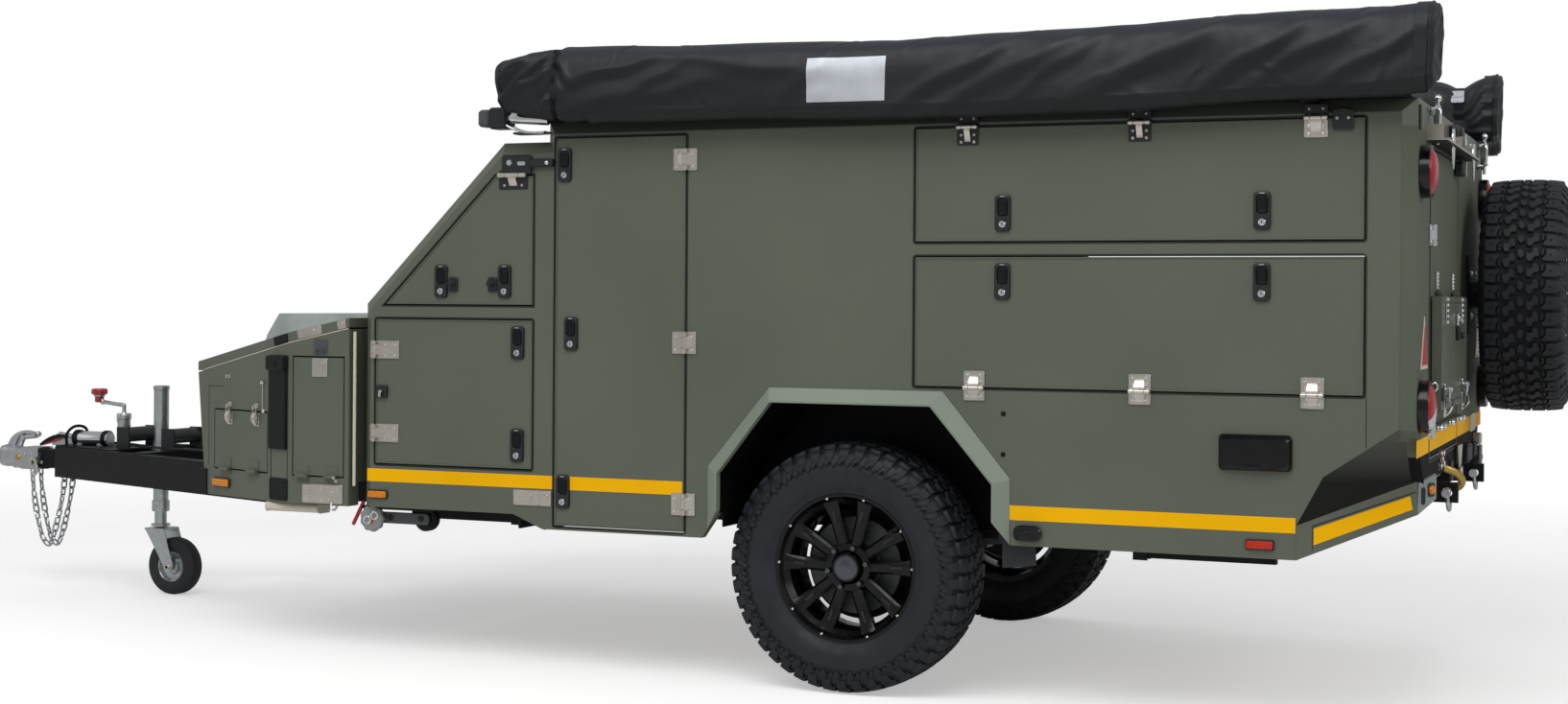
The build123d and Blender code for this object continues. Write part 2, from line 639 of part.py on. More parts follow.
def axle_beam():
    """Square tube with a round stub into each hub and a brake backing plate."""
    half_tube = AXLE_TUBE / 2
    inner_face = WHEEL_Y - 75 - 12
    beam = box(AXLE_X - half_tube, AXLE_X + half_tube, -inner_face, inner_face,
               TYRE_R - half_tube, TYRE_R + half_tube)
    stub_end = WHEEL_Y + 12
    stub = rod((AXLE_X, -stub_end, TYRE_R), (AXLE_X, -inner_face + 1, TYRE_R), STUB_R)
    plate = disc((AXLE_X, -inner_face - 2.5, TYRE_R), (0, 1, 0), DRUM_R - 10, 5)
    return beam + both_sides(stub + plate)


def leaf_springs():
    """A three-leaf pack each side, seated on the axle."""
    seat_z = TYRE_R + AXLE_TUBE / 2
    packs = []
    rise = 26.0
    for number, (span, thick) in enumerate(((SPRING_HALF_SPAN - 90, 9), (SPRING_HALF_SPAN - 40, 9),
                                            (SPRING_HALF_SPAN, 9))):
        low = seat_z + 9 * number
        outline = []
        for x, z in ((-span, rise * (span / SPRING_HALF_SPAN) ** 2), (0, 0), (span, rise * (span / SPRING_HALF_SPAN) ** 2)):
            outline.append((AXLE_X + x, z + low))
        arc_low = ThreePointArc(*[(x, 0, z) for x, z in outline])
        arc_high = ThreePointArc(*[(x, 0, z + thick) for x, z in outline])
        ends = [Line(arc_low @ 0, arc_high @ 0), Line(arc_low @ 1, arc_high @ 1)]
        face = make_face(Curve() + [arc_low, arc_high] + ends)
        leaf = extrude(face, amount=SPRING_WIDTH / 2, both=True, dir=(0, 1, 0))
        packs.append(leaf)
    pack = packs[0] + packs[1] + packs[2]
    pack += box(AXLE_X - 50, AXLE_X + 50, -SPRING_WIDTH / 2, SPRING_WIDTH / 2, seat_z, seat_z + 6)
    eye_z = seat_z + 27 + rise - 4.5
    for side in (-1, 1):
        eye_x = AXLE_X + side * (SPRING_HALF_SPAN + 8)
        pack += disc((eye_x, 0, eye_z), (0, 1, 0), 16, SPRING_WIDTH)
        pack -= disc((eye_x, 0, eye_z), (0, 1, 0), 8, SPRING_WIDTH + 2)
    left = Pos(0, -SPRING_Y, 0) * pack
    return group(left, mirrored(left))


def chassis_frame():
    """Two rails, cross members and the spring hangers."""
    top = FLOOR_Z
    bottom = top - RAIL_DEPTH
    front = -600.0
    rail = box(front, FRAME_REAR_X, -RAIL_Y - RAIL_WIDTH, -RAIL_Y, bottom, top)
    frame = both_sides(rail)
    for x in (front, 120, 1180, 2250, FRAME_REAR_X - RAIL_WIDTH):
        frame += box(x, x + RAIL_WIDTH, -RAIL_Y, RAIL_Y, bottom + 20, top)
    seat_z = TYRE_R + AXLE_TUBE / 2
    eye_z = seat_z + 27 + 26 - 4.5
    hangers = None
    for side in (-1, 1):
        eye_x = AXLE_X + side * (SPRING_HALF_SPAN + 8)
        for cheek in (-1, 1):
            y = -SPRING_Y + cheek * (SPRING_WIDTH / 2 + 4)
            plate = box(eye_x - 25, eye_x + 25, y - 3, y + 3, eye_z - 22, top - 4)
            hangers = plate if hangers is None else hangers + plate
        hangers += box(eye_x - 25, eye_x + 25, -SPRING_Y - 37, -SPRING_Y + 37, bottom + 8, bottom + 14)
        hangers += disc((eye_x, -SPRING_Y, eye_z), (0, 1, 0), 8, SPRING_WIDTH + 16)
    frame += both_sides(hangers)
    for pivot_x, y in STEADY_PLACES:
        frame += both_sides(steady_bracket(pivot_x, y))
    return frame


def drawbar():
    """The A-frame: two sloping-in rails, a nose plate box and the tow tube."""
    top = FLOOR_Z
    bottom = top - DRAWBAR_DEPTH
    angle = math.radians(DRAWBAR_ANGLE)
    start = Vector(DRAWBAR_NOSE_X, -DRAWBAR_NOSE_Y, 0)
    end_y = RAIL_Y + 25
    end = Vector(DRAWBAR_NOSE_X + (end_y - DRAWBAR_NOSE_Y) / math.tan(angle), -end_y, 0)
    out = Vector(-math.sin(angle), -math.cos(angle), 0) * RAIL_WIDTH
    low_end = start - out * 0.5
    points = [(low_end.X, low_end.Y, bottom), (low_end.X + end.X - start.X, low_end.Y + end.Y - start.Y, bottom),
              (low_end.X + end.X - start.X, low_end.Y + end.Y - start.Y, top), (low_end.X, low_end.Y, top)]
    frame = both_sides(prism(points, tuple(out)))
    frame &= box(DRAWBAR_NOSE_X, -600, -HALF_WIDTH, HALF_WIDTH, 0, 1000)
    nose = [(DRAWBAR_NOSE_X, -DRAWBAR_NOSE_Y - 22, top), (DRAWBAR_NOSE_X + 330, -160, top),
            (DRAWBAR_NOSE_X + 330, 160, top), (DRAWBAR_NOSE_X, DRAWBAR_NOSE_Y + 22, top)]
    frame += prism(nose, (0, 0, 6))
    half = TOW_TUBE / 2
    frame += box(COUPLING_REAR_X - 40, DRAWBAR_NOSE_X + 300, -half, half, COUPLING_Z - half, COUPLING_Z + half)
    for x in (-1560.0, -1120.0):
        reach = DRAWBAR_NOSE_Y + (x - DRAWBAR_NOSE_X) * math.tan(angle) - 10
        frame += box(x, x + 50, -reach, reach, bottom + 25, top)
    return frame


def coupling():
    """Ball coupling: a cast cup with its socket open below, and a lever."""
    z = COUPLING_Z
    half = TOW_TUBE / 2
    sleeve = box(COUPLING_REAR_X - 90, COUPLING_REAR_X, -half - 8, half + 8, z - half - 8, z + half + 8)
    sleeve -= box(COUPLING_REAR_X - 41, COUPLING_REAR_X + 1, -half, half, z - half, z + half)
    cup_x = COUPLING_TIP_X + 48
    cup = Pos(cup_x, 0, z - 4) * Sphere(48)
    neck = prism([(cup_x, -40, z - 34), (cup_x, 40, z - 34), (cup_x, 34, z + 38), (cup_x, -34, z + 38)],
                 (COUPLING_REAR_X - 90 - cup_x, 0, 0))
    body = cup + neck + sleeve
    body -= Pos(cup_x, 0, z - 22) * Sphere(26)
    body -= box(cup_x - 60, cup_x + 60, -60, 60, z - 90, z - 36)
    lever = rod((cup_x + 38, 0, z + 36), (cup_x + 62, 0, z + 84), 13)
    lever += rod((cup_x + 62, 0, z + 84), (cup_x + 134, 0, z + 92), 11)
    lever += Pos(cup_x + 62, 0, z + 84) * Sphere(13)
    return body + lever


# ---------------------------------------------------------------- jockey wheel

JOCKEY_FORK_TOP = 268.0


def jockey_mast():
    """Outer tube of the jockey wheel and its clamp on the drawbar."""
    tube = rod((JOCKEY_X, 0, JOCKEY_SLEEVE_Z), (JOCKEY_X, 0, JOCKEY_TOP_Z), JOCKEY_TUBE_R)
    tube += rod((JOCKEY_X, 0, JOCKEY_SLEEVE_Z), (JOCKEY_X, 0, JOCKEY_SLEEVE_Z + 42), JOCKEY_TUBE_R + 5)
    bore = JOCKEY_LEG_R + JOCKEY_FIT
    tube -= rod((JOCKEY_X, 0, JOCKEY_SLEEVE_Z - 1), (JOCKEY_X, 0, JOCKEY_TOP_Z - 6), bore)
    angle = math.radians(DRAWBAR_ANGLE)
    reach = DRAWBAR_NOSE_Y + (JOCKEY_X - DRAWBAR_NOSE_X) * math.tan(angle) - RAIL_WIDTH / 2 / math.cos(angle)
    clamp = box(JOCKEY_X - 45, JOCKEY_X + 45, -JOCKEY_TUBE_R - 14, JOCKEY_TUBE_R + 14, FLOOR_Z - 70, FLOOR_Z - 20)
    taper = 55 * math.tan(angle)
    low = FLOOR_Z - 20
    plate = prism([
        (JOCKEY_X - 55, -reach + taper, low), (JOCKEY_X + 55, -reach - taper, low),
        (JOCKEY_X + 55, reach + taper, low), (JOCKEY_X - 55, reach - taper, low)], (0, 0, 8))
    solid = clamp + plate
    solid -= rod((JOCKEY_X, 0, JOCKEY_SLEEVE_Z - 1), (JOCKEY_X, 0, JOCKEY_TOP_Z), JOCKEY_TUBE_R - 1)
    return tube + solid


def jockey_leg():
    """Inner tube that winds up and down, with the swivel pad at its foot."""
    leg = rod((JOCKEY_X, 0, JOCKEY_FORK_TOP + 8), (JOCKEY_X, 0, JOCKEY_TOP_Z - 260), JOCKEY_LEG_R)
    leg += disc((JOCKEY_X, 0, JOCKEY_FORK_TOP + 11), (0, 0, 1), 38, 8)
    leg += rod((JOCKEY_X, 0, JOCKEY_FORK_TOP - 22), (JOCKEY_X, 0, JOCKEY_FORK_TOP + 9), 9)
    return leg


def jockey_fork():
    """Swivelling fork, its wheel pin trailing behind the leg."""
    top = box(JOCKEY_X - 42, JOCKEY_X + 52, -48, 48, JOCKEY_FORK_TOP - 8, JOCKEY_FORK_TOP)
    top -= rod((JOCKEY_X, 0, JOCKEY_FORK_TOP - 30), (JOCKEY_X, 0, JOCKEY_FORK_TOP + 30), 9 + JOCKEY_FIT)
    pin_x = JOCKEY_X + JOCKEY_TRAIL
    cheek = prism([
        (JOCKEY_X - 42, -48, JOCKEY_FORK_TOP), (JOCKEY_X + 52, -48, JOCKEY_FORK_TOP),
        (pin_x + 24, -48, JOCKEY_WHEEL_R + 10), (pin_x + 14, -48, JOCKEY_WHEEL_R - 20),
        (pin_x - 14, -48, JOCKEY_WHEEL_R - 20), (pin_x - 28, -48, JOCKEY_WHEEL_R + 12)], (0, 6, 0))
    pin = disc((pin_x, 0, JOCKEY_WHEEL_R), (0, 1, 0), 8, 108)
    return top + both_sides(cheek) + pin


def jockey_wheel():
    """Solid rubber tyre on a moulded centre."""
    centre = (JOCKEY_X + JOCKEY_TRAIL, 0, JOCKEY_WHEEL_R)
    wheel = disc(centre, (0, 1, 0), JOCKEY_WHEEL_R, JOCKEY_WHEEL_WIDTH)
    wheel = fillet(wheel.edges().filter_by(GeomType.CIRCLE), 14)
    for side in (-1, 1):
        wheel -= ring((centre[0], side * JOCKEY_WHEEL_WIDTH / 2, centre[2]), (0, 1, 0), 66, 30, 24)
    return wheel - disc(centre, (0, 1, 0), 8 + JOCKEY_FIT, 200)


def jockey_crank():
    """Upright galvanised post on the drawbar with its winding handle."""
    x = -1830.0
    post = rod((x, 0, FLOOR_Z + 6), (x, 0, 722), 26)
    arm = rod((x, 0, 720), (x, 0, 762), 8)
    arm += rod((x, 0, 760), (x - 105, 0, 772), 8)
    arm += Pos(x, 0, 761) * Sphere(8)
    arm += rod((x - 105, 0, 764), (x - 128, 0, 800), 8)
    knob = disc((x - 128, 0, 806), (0, 0, 1), 22, 24)
    return post + arm + knob


def drawbar_damper():
    """Overrun damper along the top of the drawbar."""
    z = FLOOR_Z + 6 + 28
    body = rod((-2080, 0, z), (-1900, 0, z), 28)
    feet = box(-2060, -2030, -24, 24, FLOOR_Z + 6, z) + box(-1950, -1920, -24, 24, FLOOR_Z + 6, z)
    lever = rod((-2080, 0, z + 4), (-2165, 0, z + 14), 10)
    return body + feet + lever


def winch_rollers():
    """Pair of black rollers in side cheeks behind the crank post."""
    low = FLOOR_Z
    parts = None
    for x in (-1760.0, -1535.0):
        cheeks = box(x - 30, x + 30, -92, -84, low, low + 92) + box(x - 30, x + 30, 84, 92, low, low + 92)
        cheeks += disc((x, 0, low + 60), (0, 1, 0), 30, 170)
        parts = cheeks if parts is None else parts + cheeks
    parts += box(-1790, -1735, -175, 175, low, low + 6) + box(-1565, -1505, -262, 262, low, low + 6)
    return parts


# ---------------------------------------------------------------- rear

def rear_door():
    y0, y1, z0, z1 = REAR_DOOR
    half = GAP / 2
    panel = box(BODY_LENGTH - WALL, BODY_LENGTH, y0 + half, y1 - half, z0 + half, z1 - half)
    hinges = [hinge((BODY_LENGTH, y0, z), UP, REARWARD, 60, 15, 30) for z in (z0 + 95, z1 - 250)]
    return hung(panel, hinges)


def rear_flap():
    """A flap hinged at its top, shut flat against the rear door."""
    y0, y1, z0, z1 = REAR_FLAP
    x = BODY_LENGTH + FLAP_GAP
    panel = box(x, x + FLAP_THICK, y0, y1, z0, z1 - 8)
    across = (0, 1, 0)
    hinges = []
    for y in (y0 + 150, y1 - 150):
        hinges.append(hinge((BODY_LENGTH, y, z1), across, REARWARD, 50, 40, 70, lift=FLAP_GAP + 1))
    return hung(panel, hinges)


def rear_shelf():
    """Shelf rail over the rear door with two upright lugs."""
    z = REAR_DOOR[3] + 14
    shelf = box(BODY_LENGTH, BODY_LENGTH + 62, -790, 150, z, z + 5)
    for y in (-760, -250, 110):
        shelf += box(BODY_LENGTH, BODY_LENGTH + 45, y, y + 5, z + 5, z + 48)
    return shelf


def spare_carrier():
    """Mounting plate and stub that hold the spare wheel."""
    centre_x = SPARE_FACE_X - TYRE_WIDTH / 2
    face_x = centre_x + 26
    y, z = SPARE_Y, SPARE_Z
    plate = box(BODY_LENGTH, BODY_LENGTH + 8, y - 150, y + 150, z - 130, z + 130)
    stub = rod((BODY_LENGTH + 8, y, z), (face_x - 8, y, z), 45)
    flange = rod((face_x - 10, y, z), (face_x, y, z), 85)
    return plate + stub + flange


def tail_lights():
    solids = []
    for z in (1580.0, 925.0):
        lamp = disc((BODY_LENGTH + LAMP_DEPTH / 2, -LAMP_Y, z), (1, 0, 0), LAMP_R, LAMP_DEPTH)
        solids += [lamp, mirrored(lamp)]
    return group(*solids)


def rear_bumper():
    """Steel cross beam under the rear wall, with two recovery eyes."""
    low = REAR_WALL_BOTTOM_Z - 78
    high = low + 48
    beam = box(BODY_LENGTH - 110, BODY_LENGTH - 40, -680, 680, low, high)
    for y in (-420.0, 420.0):
        eye = box(BODY_LENGTH - 45, BODY_LENGTH + 60, y - 10, y + 10, low, high + 12)
        eye -= disc((BODY_LENGTH + 28, y, low + 30), (0, 1, 0), 15, 30)
        beam += eye
    stay = side_prism([(FRAME_REAR_X, FLOOR_Z - RAIL_DEPTH), (FRAME_REAR_X, FLOOR_Z - 30),
                       (BODY_LENGTH - 60, high), (BODY_LENGTH - 60, low)], -RAIL_Y - RAIL_WIDTH, -RAIL_Y)
    return beam + both_sides(stay)


# ---------------------------------------------------------------- steadies

STEADY_LENGTH = 400.0
STEADY_PIVOT_Z = 462.0
STEADY_FRONT = (445.0, -700.0)                     # pivot X, Y
STEADY_REAR = (2600.0, -740.0)
STEADY_PLACES = (STEADY_FRONT, STEADY_REAR)


def steady(place, towards):
    """A corner steady folded up: an arm with an eye, and its foot."""
    pivot_x, y = place
    z = STEADY_PIVOT_Z
    tip = pivot_x + towards * STEADY_LENGTH
    leg = box(min(pivot_x, tip), max(pivot_x, tip), y - 15, y + 15, z - 14, z + 14)
    leg += disc((pivot_x, y, z), (0, 1, 0), 18, 30)
    leg -= disc((pivot_x, y, z), (0, 1, 0), 8 + PIN_FIT, 40)
    if towards < 0:
        return leg + disc((tip - 4, y, z), (1, 0, 0), 38, 8)
    return leg + disc((tip, y, z + 20), (0, 0, 1), 84, 13)


def steady_bracket(pivot_x, y):
    """Cheeks and pin that hang a steady beside its rail."""
    z = STEADY_PIVOT_Z
    rail_bottom = FLOOR_Z - RAIL_DEPTH
    bracket = box(pivot_x - 30, pivot_x + 30, y - 27, -RAIL_Y - RAIL_WIDTH + 1, rail_bottom, rail_bottom + 8)
    for side in (-1, 1):
        middle = y + side * 22
        bracket += box(pivot_x - 22, pivot_x + 22, middle - 3, middle + 3, z - 20, rail_bottom + 1)
    return bracket + disc((pivot_x, y, z), (0, 1, 0), 8, 50)


# ---------------------------------------------------------------- awning bags

def awning_bag():
    """A rolled awning in its bag, on feet along the roof edge."""
    section = [
        (-BAG_OUT_Y - 6, BAG_LIP_Z), (-HALF_WIDTH - 6, BAG_LIP_Z), (-HALF_WIDTH + 38, BAG_REST_Z),
        (-BAG_IN_Y, BAG_REST_Z),
        (-BAG_IN_Y, BAG_TOP_Z - 24), (-HALF_WIDTH - 30, BAG_TOP_Z - 4), (-BAG_OUT_Y - 6, BAG_TOP_Z - 54)]
    bag = prism([(BAG_FRONT_X, y, z) for y, z in section], (BAG_REAR_X - BAG_FRONT_X, 0, 0))
    along = bag.edges().filter_by(Axis.X).sort_by(Axis.Z)[-3:]
    bag = fillet(along, 22)
    for x in (760.0, 1690.0, 2620.0, 3330.0):
        bag += box(x, x + 60, -HALF_WIDTH + 45, -HALF_WIDTH + 100, ROOF_Z, BAG_REST_Z + 5)
    return bag


# ---------------------------------------------------------------- nose box doors

def nose_side_door():
    """Drop-down door in the angled side, hinged along its foot."""
    half = GAP / 2
    s0, s1, z0, z1 = NOSE_SIDE_DOOR
    panel = angled_panel(s0 + half, s1 - half, z0 + half, z1 - half, NOSE_WALL)
    hinges = []
    for s in (s0 + 80, s1 - 80):
        at = ANGLED_START + ANGLED_ALONG * s
        hinges.append(hinge((at.X, at.Y, z0), tuple(ANGLED_ALONG), tuple(ANGLED_OUT), 54, 40, 18))
    return hung(panel, hinges)


def nose_rear_door():
    """Locker door on the straight side, hinged along its foot."""
    x0, x1, z0, z1 = NOSE_REAR_DOOR
    half = GAP / 2
    panel = box(x0 + half, x1 - half, -HALF_WIDTH, -HALF_WIDTH + NOSE_WALL, z0 + half, z1 - half)
    hinges = [hinge((x, -HALF_WIDTH, z0), FORWARD, LEFT, 46, 34, 18) for x in (x0 + 45, x1 - 45)]
    return hung(panel, hinges)


NOSE_LID_PIN = (-30.0, 1152.0)                     # X, Z


def nose_lid_hinge(y):
    """Hinge between the body front and the lid's rear edge."""
    x, z = NOSE_LID_PIN
    fixed = disc((x, y, z), (0, 1, 0), PIN_R, 64)
    for side in (-1, 1):
        middle = y + side * 26
        fixed += box(x - 7, 0, middle - 6, middle + 6, z - 8, z + 8)
    moving = ring((x, y, z), (0, 1, 0), KNUCKLE_R, PIN_R + PIN_FIT, 36)
    moving += box(x - 42, x - PIN_R - 1, y - 18, y + 18, z - 26, z + 4)
    moving -= disc((x, y, z), (0, 1, 0), PIN_R + PIN_FIT, 80)
    return fixed, moving


def placed(shape):
    """The same shape in the part's own frame."""
    return Pos(FRAME_SHIFT, 0, 0) * shape


def main():
    front_wall, roof_panel, rear_wall = body_panels()
    left_panel = side_panel()
    floor = floor_panel()
    arch = wheel_arch()
    panels, hinge_halves = side_doors()
    side_door, side_halves = nose_side_door()
    nose_door, nose_halves = nose_rear_door()
    hinge_halves += side_halves + nose_halves
    lid, cowl = nose_lid()
    lid_halves = []
    for y in (-560.0, 560.0):
        still, moving = nose_lid_hinge(y)
        lid_halves.append(still)
        lid += moving
    tail_door, tail_halves = rear_door()
    flap, flap_halves = rear_flap()
    for half in flap_halves:
        tail_door += half
    entry_halves = hinge_halves[:3]
    paired = hinge_halves[3:]
    quarter = rear_quarter() - left_panel - rear_wall - floor

    nodes["side_panel_left"] = left_panel
    nodes["side_panel_right"] = mirrored(side_panel(entry=False))
    nodes["front_wall"] = front_wall
    nodes["roof_panel"] = roof_panel
    nodes["rear_wall"] = rear_wall
    nodes["floor_panel"] = floor
    nodes["rear_corners"] = group(quarter, mirrored(quarter))
    nodes["wheel_arches"] = group(arch, mirrored(arch))
    nodes["fixed_hinges"] = group(
        *entry_halves, *paired, *[mirrored(half) for half in paired], *tail_halves, *lid_halves)
    nodes["entry_door"] = panels.pop("entry_door")
    for name, panel in panels.items():
        nodes[name + "_left"] = panel
        nodes[name + "_right"] = mirrored(panel)
    nodes["nose_box"] = nose_box()
    nodes["nose_lid"] = lid
    nodes["nose_cowl"] = cowl
    nodes["nose_side_door_left"] = side_door
    nodes["nose_side_door_right"] = mirrored(side_door)
    nodes["nose_rear_door_left"] = nose_door
    nodes["nose_rear_door_right"] = mirrored(nose_door)
    nodes["rear_door"] = tail_door
    nodes["rear_flap"] = flap
    nodes["rear_shelf"] = rear_shelf()
    nodes["tail_lights"] = tail_lights()
    nodes["rear_bumper"] = rear_bumper()
    nodes["awning_bags"] = group(awning_bag(), mirrored(awning_bag()))
    nodes["chassis_frame"] = chassis_frame()
    nodes["drawbar"] = drawbar()
    nodes["coupling"] = coupling()
    nodes["axle_beam"] = axle_beam()
    nodes["leaf_springs"] = leaf_springs()
    left = (AXLE_X, -WHEEL_Y, TYRE_R)
    for name, shape in (("tyre", tyre(left, LEFT)), ("rim", rim(left, LEFT)), ("hub", hub(left, -1))):
        nodes[name + "_left"] = shape
        nodes[name + "_right"] = mirrored(shape)
    spare = (SPARE_FACE_X - TYRE_WIDTH / 2, SPARE_Y, SPARE_Z)
    nodes["spare_carrier"] = spare_carrier()
    nodes["spare_rim"] = rim(spare, REARWARD)
    nodes["spare_tyre"] = tyre(spare, REARWARD)
    nodes["jockey_mast"] = jockey_mast()
    nodes["jockey_leg"] = jockey_leg()
    nodes["jockey_fork"] = jockey_fork()
    nodes["jockey_wheel"] = jockey_wheel()
    nodes["crank_post"] = jockey_crank()
    nodes["overrun_damper"] = drawbar_damper()
    nodes["drawbar_rollers"] = winch_rollers()
    front_leg = steady(STEADY_FRONT, -1)
    rear_leg = steady(STEADY_REAR, 1)
    nodes["steady_front_left"] = front_leg
    nodes["steady_front_right"] = mirrored(front_leg)
    nodes["steady_rear_left"] = rear_leg
    nodes["steady_rear_right"] = mirrored(rear_leg)

    os.makedirs("parts", exist_ok=True)
    for name, shape in nodes.items():
        shape = placed(shape)
        export_step(shape, "parts/" + name + ".step")
        low, high = shape.bounding_box().min, shape.bounding_box().max
        print(name, len(shape.solids()), "solids", round(shape.volume / 1e6, 2), "litres",
              [round(v) for v in (low.X, low.Y, low.Z, high.X, high.Y, high.Z)])


if __name__ == "__main__":
    main()
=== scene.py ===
"""Looks of an off-road caravan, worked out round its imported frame.

Every length is in metres in the frame's own axes: X from the coupling to the
tail, Y from left to right, Z up. Most places along the caravan are given from
the flat front of its body, which is at FRONT.
"""

import math

import bmesh
import bpy
import numpy as np
from mathutils import Matrix, Vector


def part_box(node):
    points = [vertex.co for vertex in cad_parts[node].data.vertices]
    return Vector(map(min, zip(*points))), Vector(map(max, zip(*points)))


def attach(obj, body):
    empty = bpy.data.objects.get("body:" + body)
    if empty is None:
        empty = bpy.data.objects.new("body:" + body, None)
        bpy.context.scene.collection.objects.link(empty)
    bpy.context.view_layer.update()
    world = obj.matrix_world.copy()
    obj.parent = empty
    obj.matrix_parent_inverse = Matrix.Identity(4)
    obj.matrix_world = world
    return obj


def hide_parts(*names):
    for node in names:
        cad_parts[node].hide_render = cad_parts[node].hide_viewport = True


bl_info = {
    "name": "Off-road caravan",
    "version": (1, 0, 0),
    "blender": (4, 5, 0),
    "location": "3D View > Sidebar > Caravan",
    "description": "Builds the finish of an off-road caravan round its packed frame",
    "category": "Object",
}

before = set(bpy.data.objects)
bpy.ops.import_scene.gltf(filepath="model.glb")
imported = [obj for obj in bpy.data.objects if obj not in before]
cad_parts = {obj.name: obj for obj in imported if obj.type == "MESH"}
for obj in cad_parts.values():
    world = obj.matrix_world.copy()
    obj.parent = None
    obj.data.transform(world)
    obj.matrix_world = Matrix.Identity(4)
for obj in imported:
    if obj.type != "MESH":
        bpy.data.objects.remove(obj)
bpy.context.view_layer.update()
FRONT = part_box("front_wall")[0].x
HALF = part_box("side_panel_right")[1].y
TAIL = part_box("rear_wall")[1].x
ROOT = "caravan"
X, Y, Z = np.eye(3)


# ------------------------------------------------------------------ surfaces

def grid(points, around=False, caps=False):
    """Quads over rows and columns of points: row i joins row i + 1, column j
    joins column j + 1, and the last column joins the first when around."""
    rows, cols = points.shape[:2]
    i, j = np.meshgrid(np.arange(rows - 1), np.arange(cols if around else cols - 1), indexing="ij")
    k = (j + 1) % cols
    quads = np.stack([i * cols + j, i * cols + k, (i + 1) * cols + k, (i + 1) * cols + j], -1)
    faces = quads.reshape(-1, 4).tolist()
    if caps:
        faces += [list(range(cols))[::-1], list(range((rows - 1) * cols, rows * cols))]
    return points.reshape(-1, 3), faces


def joined(*shapes):
    """Several shapes as one, their vertices stacked."""
    verts, faces, count = [], [], 0
    for shape in shapes:
        for v, f in (shape if isinstance(shape, list) else [shape]):
            verts.append(v)
            faces += [[n + count for n in face] for face in f]
            count += len(v)
    return np.vstack(verts), faces


def put(shape, origin=(0, 0, 0), ex=X, ey=Y, ez=Z):
    """A shape carried to origin with its axes along ex, ey and ez."""
    v, f = shape
    axes = np.array([ex, ey, ez], float)
    return v @ axes + np.array(origin, float), f


def across(shape):
    """The mirror image on the other side, y made -y and each face reversed."""
    v, f = shape
    return v * [1, -1, 1], [face[::-1] for face in f]


def outline_inset(outline, distance):
    """An outline moved inwards: each corner goes along the mean of its two
    edge normals, divided by one plus their cosine."""
    edge = np.roll(outline, -1, 0) - outline
    edge = edge / np.maximum(np.linalg.norm(edge, axis=1), 1e-9)[:, None]
    normal = np.stack([-edge[:, 1], edge[:, 0]], 1)
    before = np.roll(normal, 1, 0)
    turn = 1 + (normal * before).sum(1)
    return outline + distance * (normal + before) / np.maximum(turn, .2)[:, None]


def plate(outline, low, high, edge=.001):
    """An outline raised from low to high, its two rims eased by edge: four
    rings, the outer two moved inwards by edge."""
    outline = np.asarray(outline, float)
    inner = outline_inset(outline, edge)
    return rings((inner, low), (outline, low + edge), (outline, high - edge), (inner, high))


def stacked(levels):
    """Rows of points from outlines of equal length at given heights."""
    return np.stack([np.column_stack([outline, np.full(len(outline), height)]) for outline, height in levels])


def rings(*levels):
    """A closed skin through outlines of equal length at given heights."""
    return grid(stacked(levels), around=True, caps=True)


def rounded(width, height, radius=.004, steps=3, centre=(0, 0)):
    """A rectangle with round corners: a quarter circle at each corner."""
    quarter = np.linspace(0, np.pi / 2, steps + 1)
    parts = []
    for n, (sx, sy) in enumerate(((1, 1), (-1, 1), (-1, -1), (1, -1))):
        a = quarter + n * np.pi / 2
        middle = np.array([sx * (width / 2 - radius), sy * (height / 2 - radius)])
        parts.append(middle + radius * np.stack([np.cos(a), np.sin(a)], 1))
    return np.vstack(parts) + centre


def angles(steps):
    """Equal steps of a full turn, from zero."""
    return np.arange(steps) / steps * 2 * math.pi


def tile(width, height, radius, low, high, edge):
    """A plate with round corners, raised from low to high."""
    return plate(rounded(width, height, radius, 3), low, high, edge)


def circle(radius, steps):
    """Points at equal steps round a circle."""
    a = angles(steps)
    return np.stack([np.cos(a), np.sin(a)], 1) * radius


def block(low, high, edge=.002):
    """A block between two corners with eased edges."""
    low, high = np.array(low, float), np.array(high, float)
    size = high - low
    edge = min(edge, size.min() * .45)
    corners = np.array([[0, 0], [size[0], 0], [size[0], size[1]], [0, size[1]]])
    eased = []
    for before, corner, after in zip(np.roll(corners, 1, 0), corners, np.roll(corners, -1, 0)):
        eased += [corner + edge * (end - corner) / np.linalg.norm(end - corner) for end in (before, after)]
    return put(plate(eased, 0, size[2], edge), low)


def turned(profile, steps=32):
    """A profile of (radius, height) turned about the local Z axis."""
    profile = np.asarray(profile, float)
    ring = circle(1, steps)
    points = np.concatenate([profile[:, None, :1] * ring[None], np.repeat(profile[:, None, 1:], steps, 1)], 2)
    return grid(points, around=True, caps=True)


def ring_of(profile, steps=32):
    """A ring: a closed section carried round the axis."""
    ring = turned(profile, steps)[0].reshape(len(profile), steps, 3)
    return grid(np.concatenate([ring, ring[:1]]), around=True)


def frame_along(axis):
    """Two directions square to an axis, then the axis."""
    ez = np.array(axis, float)
    ez /= np.linalg.norm(ez)
    ex = np.cross(ez, Z if abs(ez[2]) < .9 else X)
    ex /= np.linalg.norm(ex)
    return ex, np.cross(ez, ex), ez


def bar(start, end, radius, steps=16, ease=.0015):
    """A round bar between two points with eased ends."""
    start, end = np.array(start, float), np.array(end, float)
    length = np.linalg.norm(end - start)
    profile = [(radius - ease, 0), (radius, ease), (radius, length - ease), (radius - ease, length)]
    return put(turned(profile, steps), start, *frame_along(end - start))


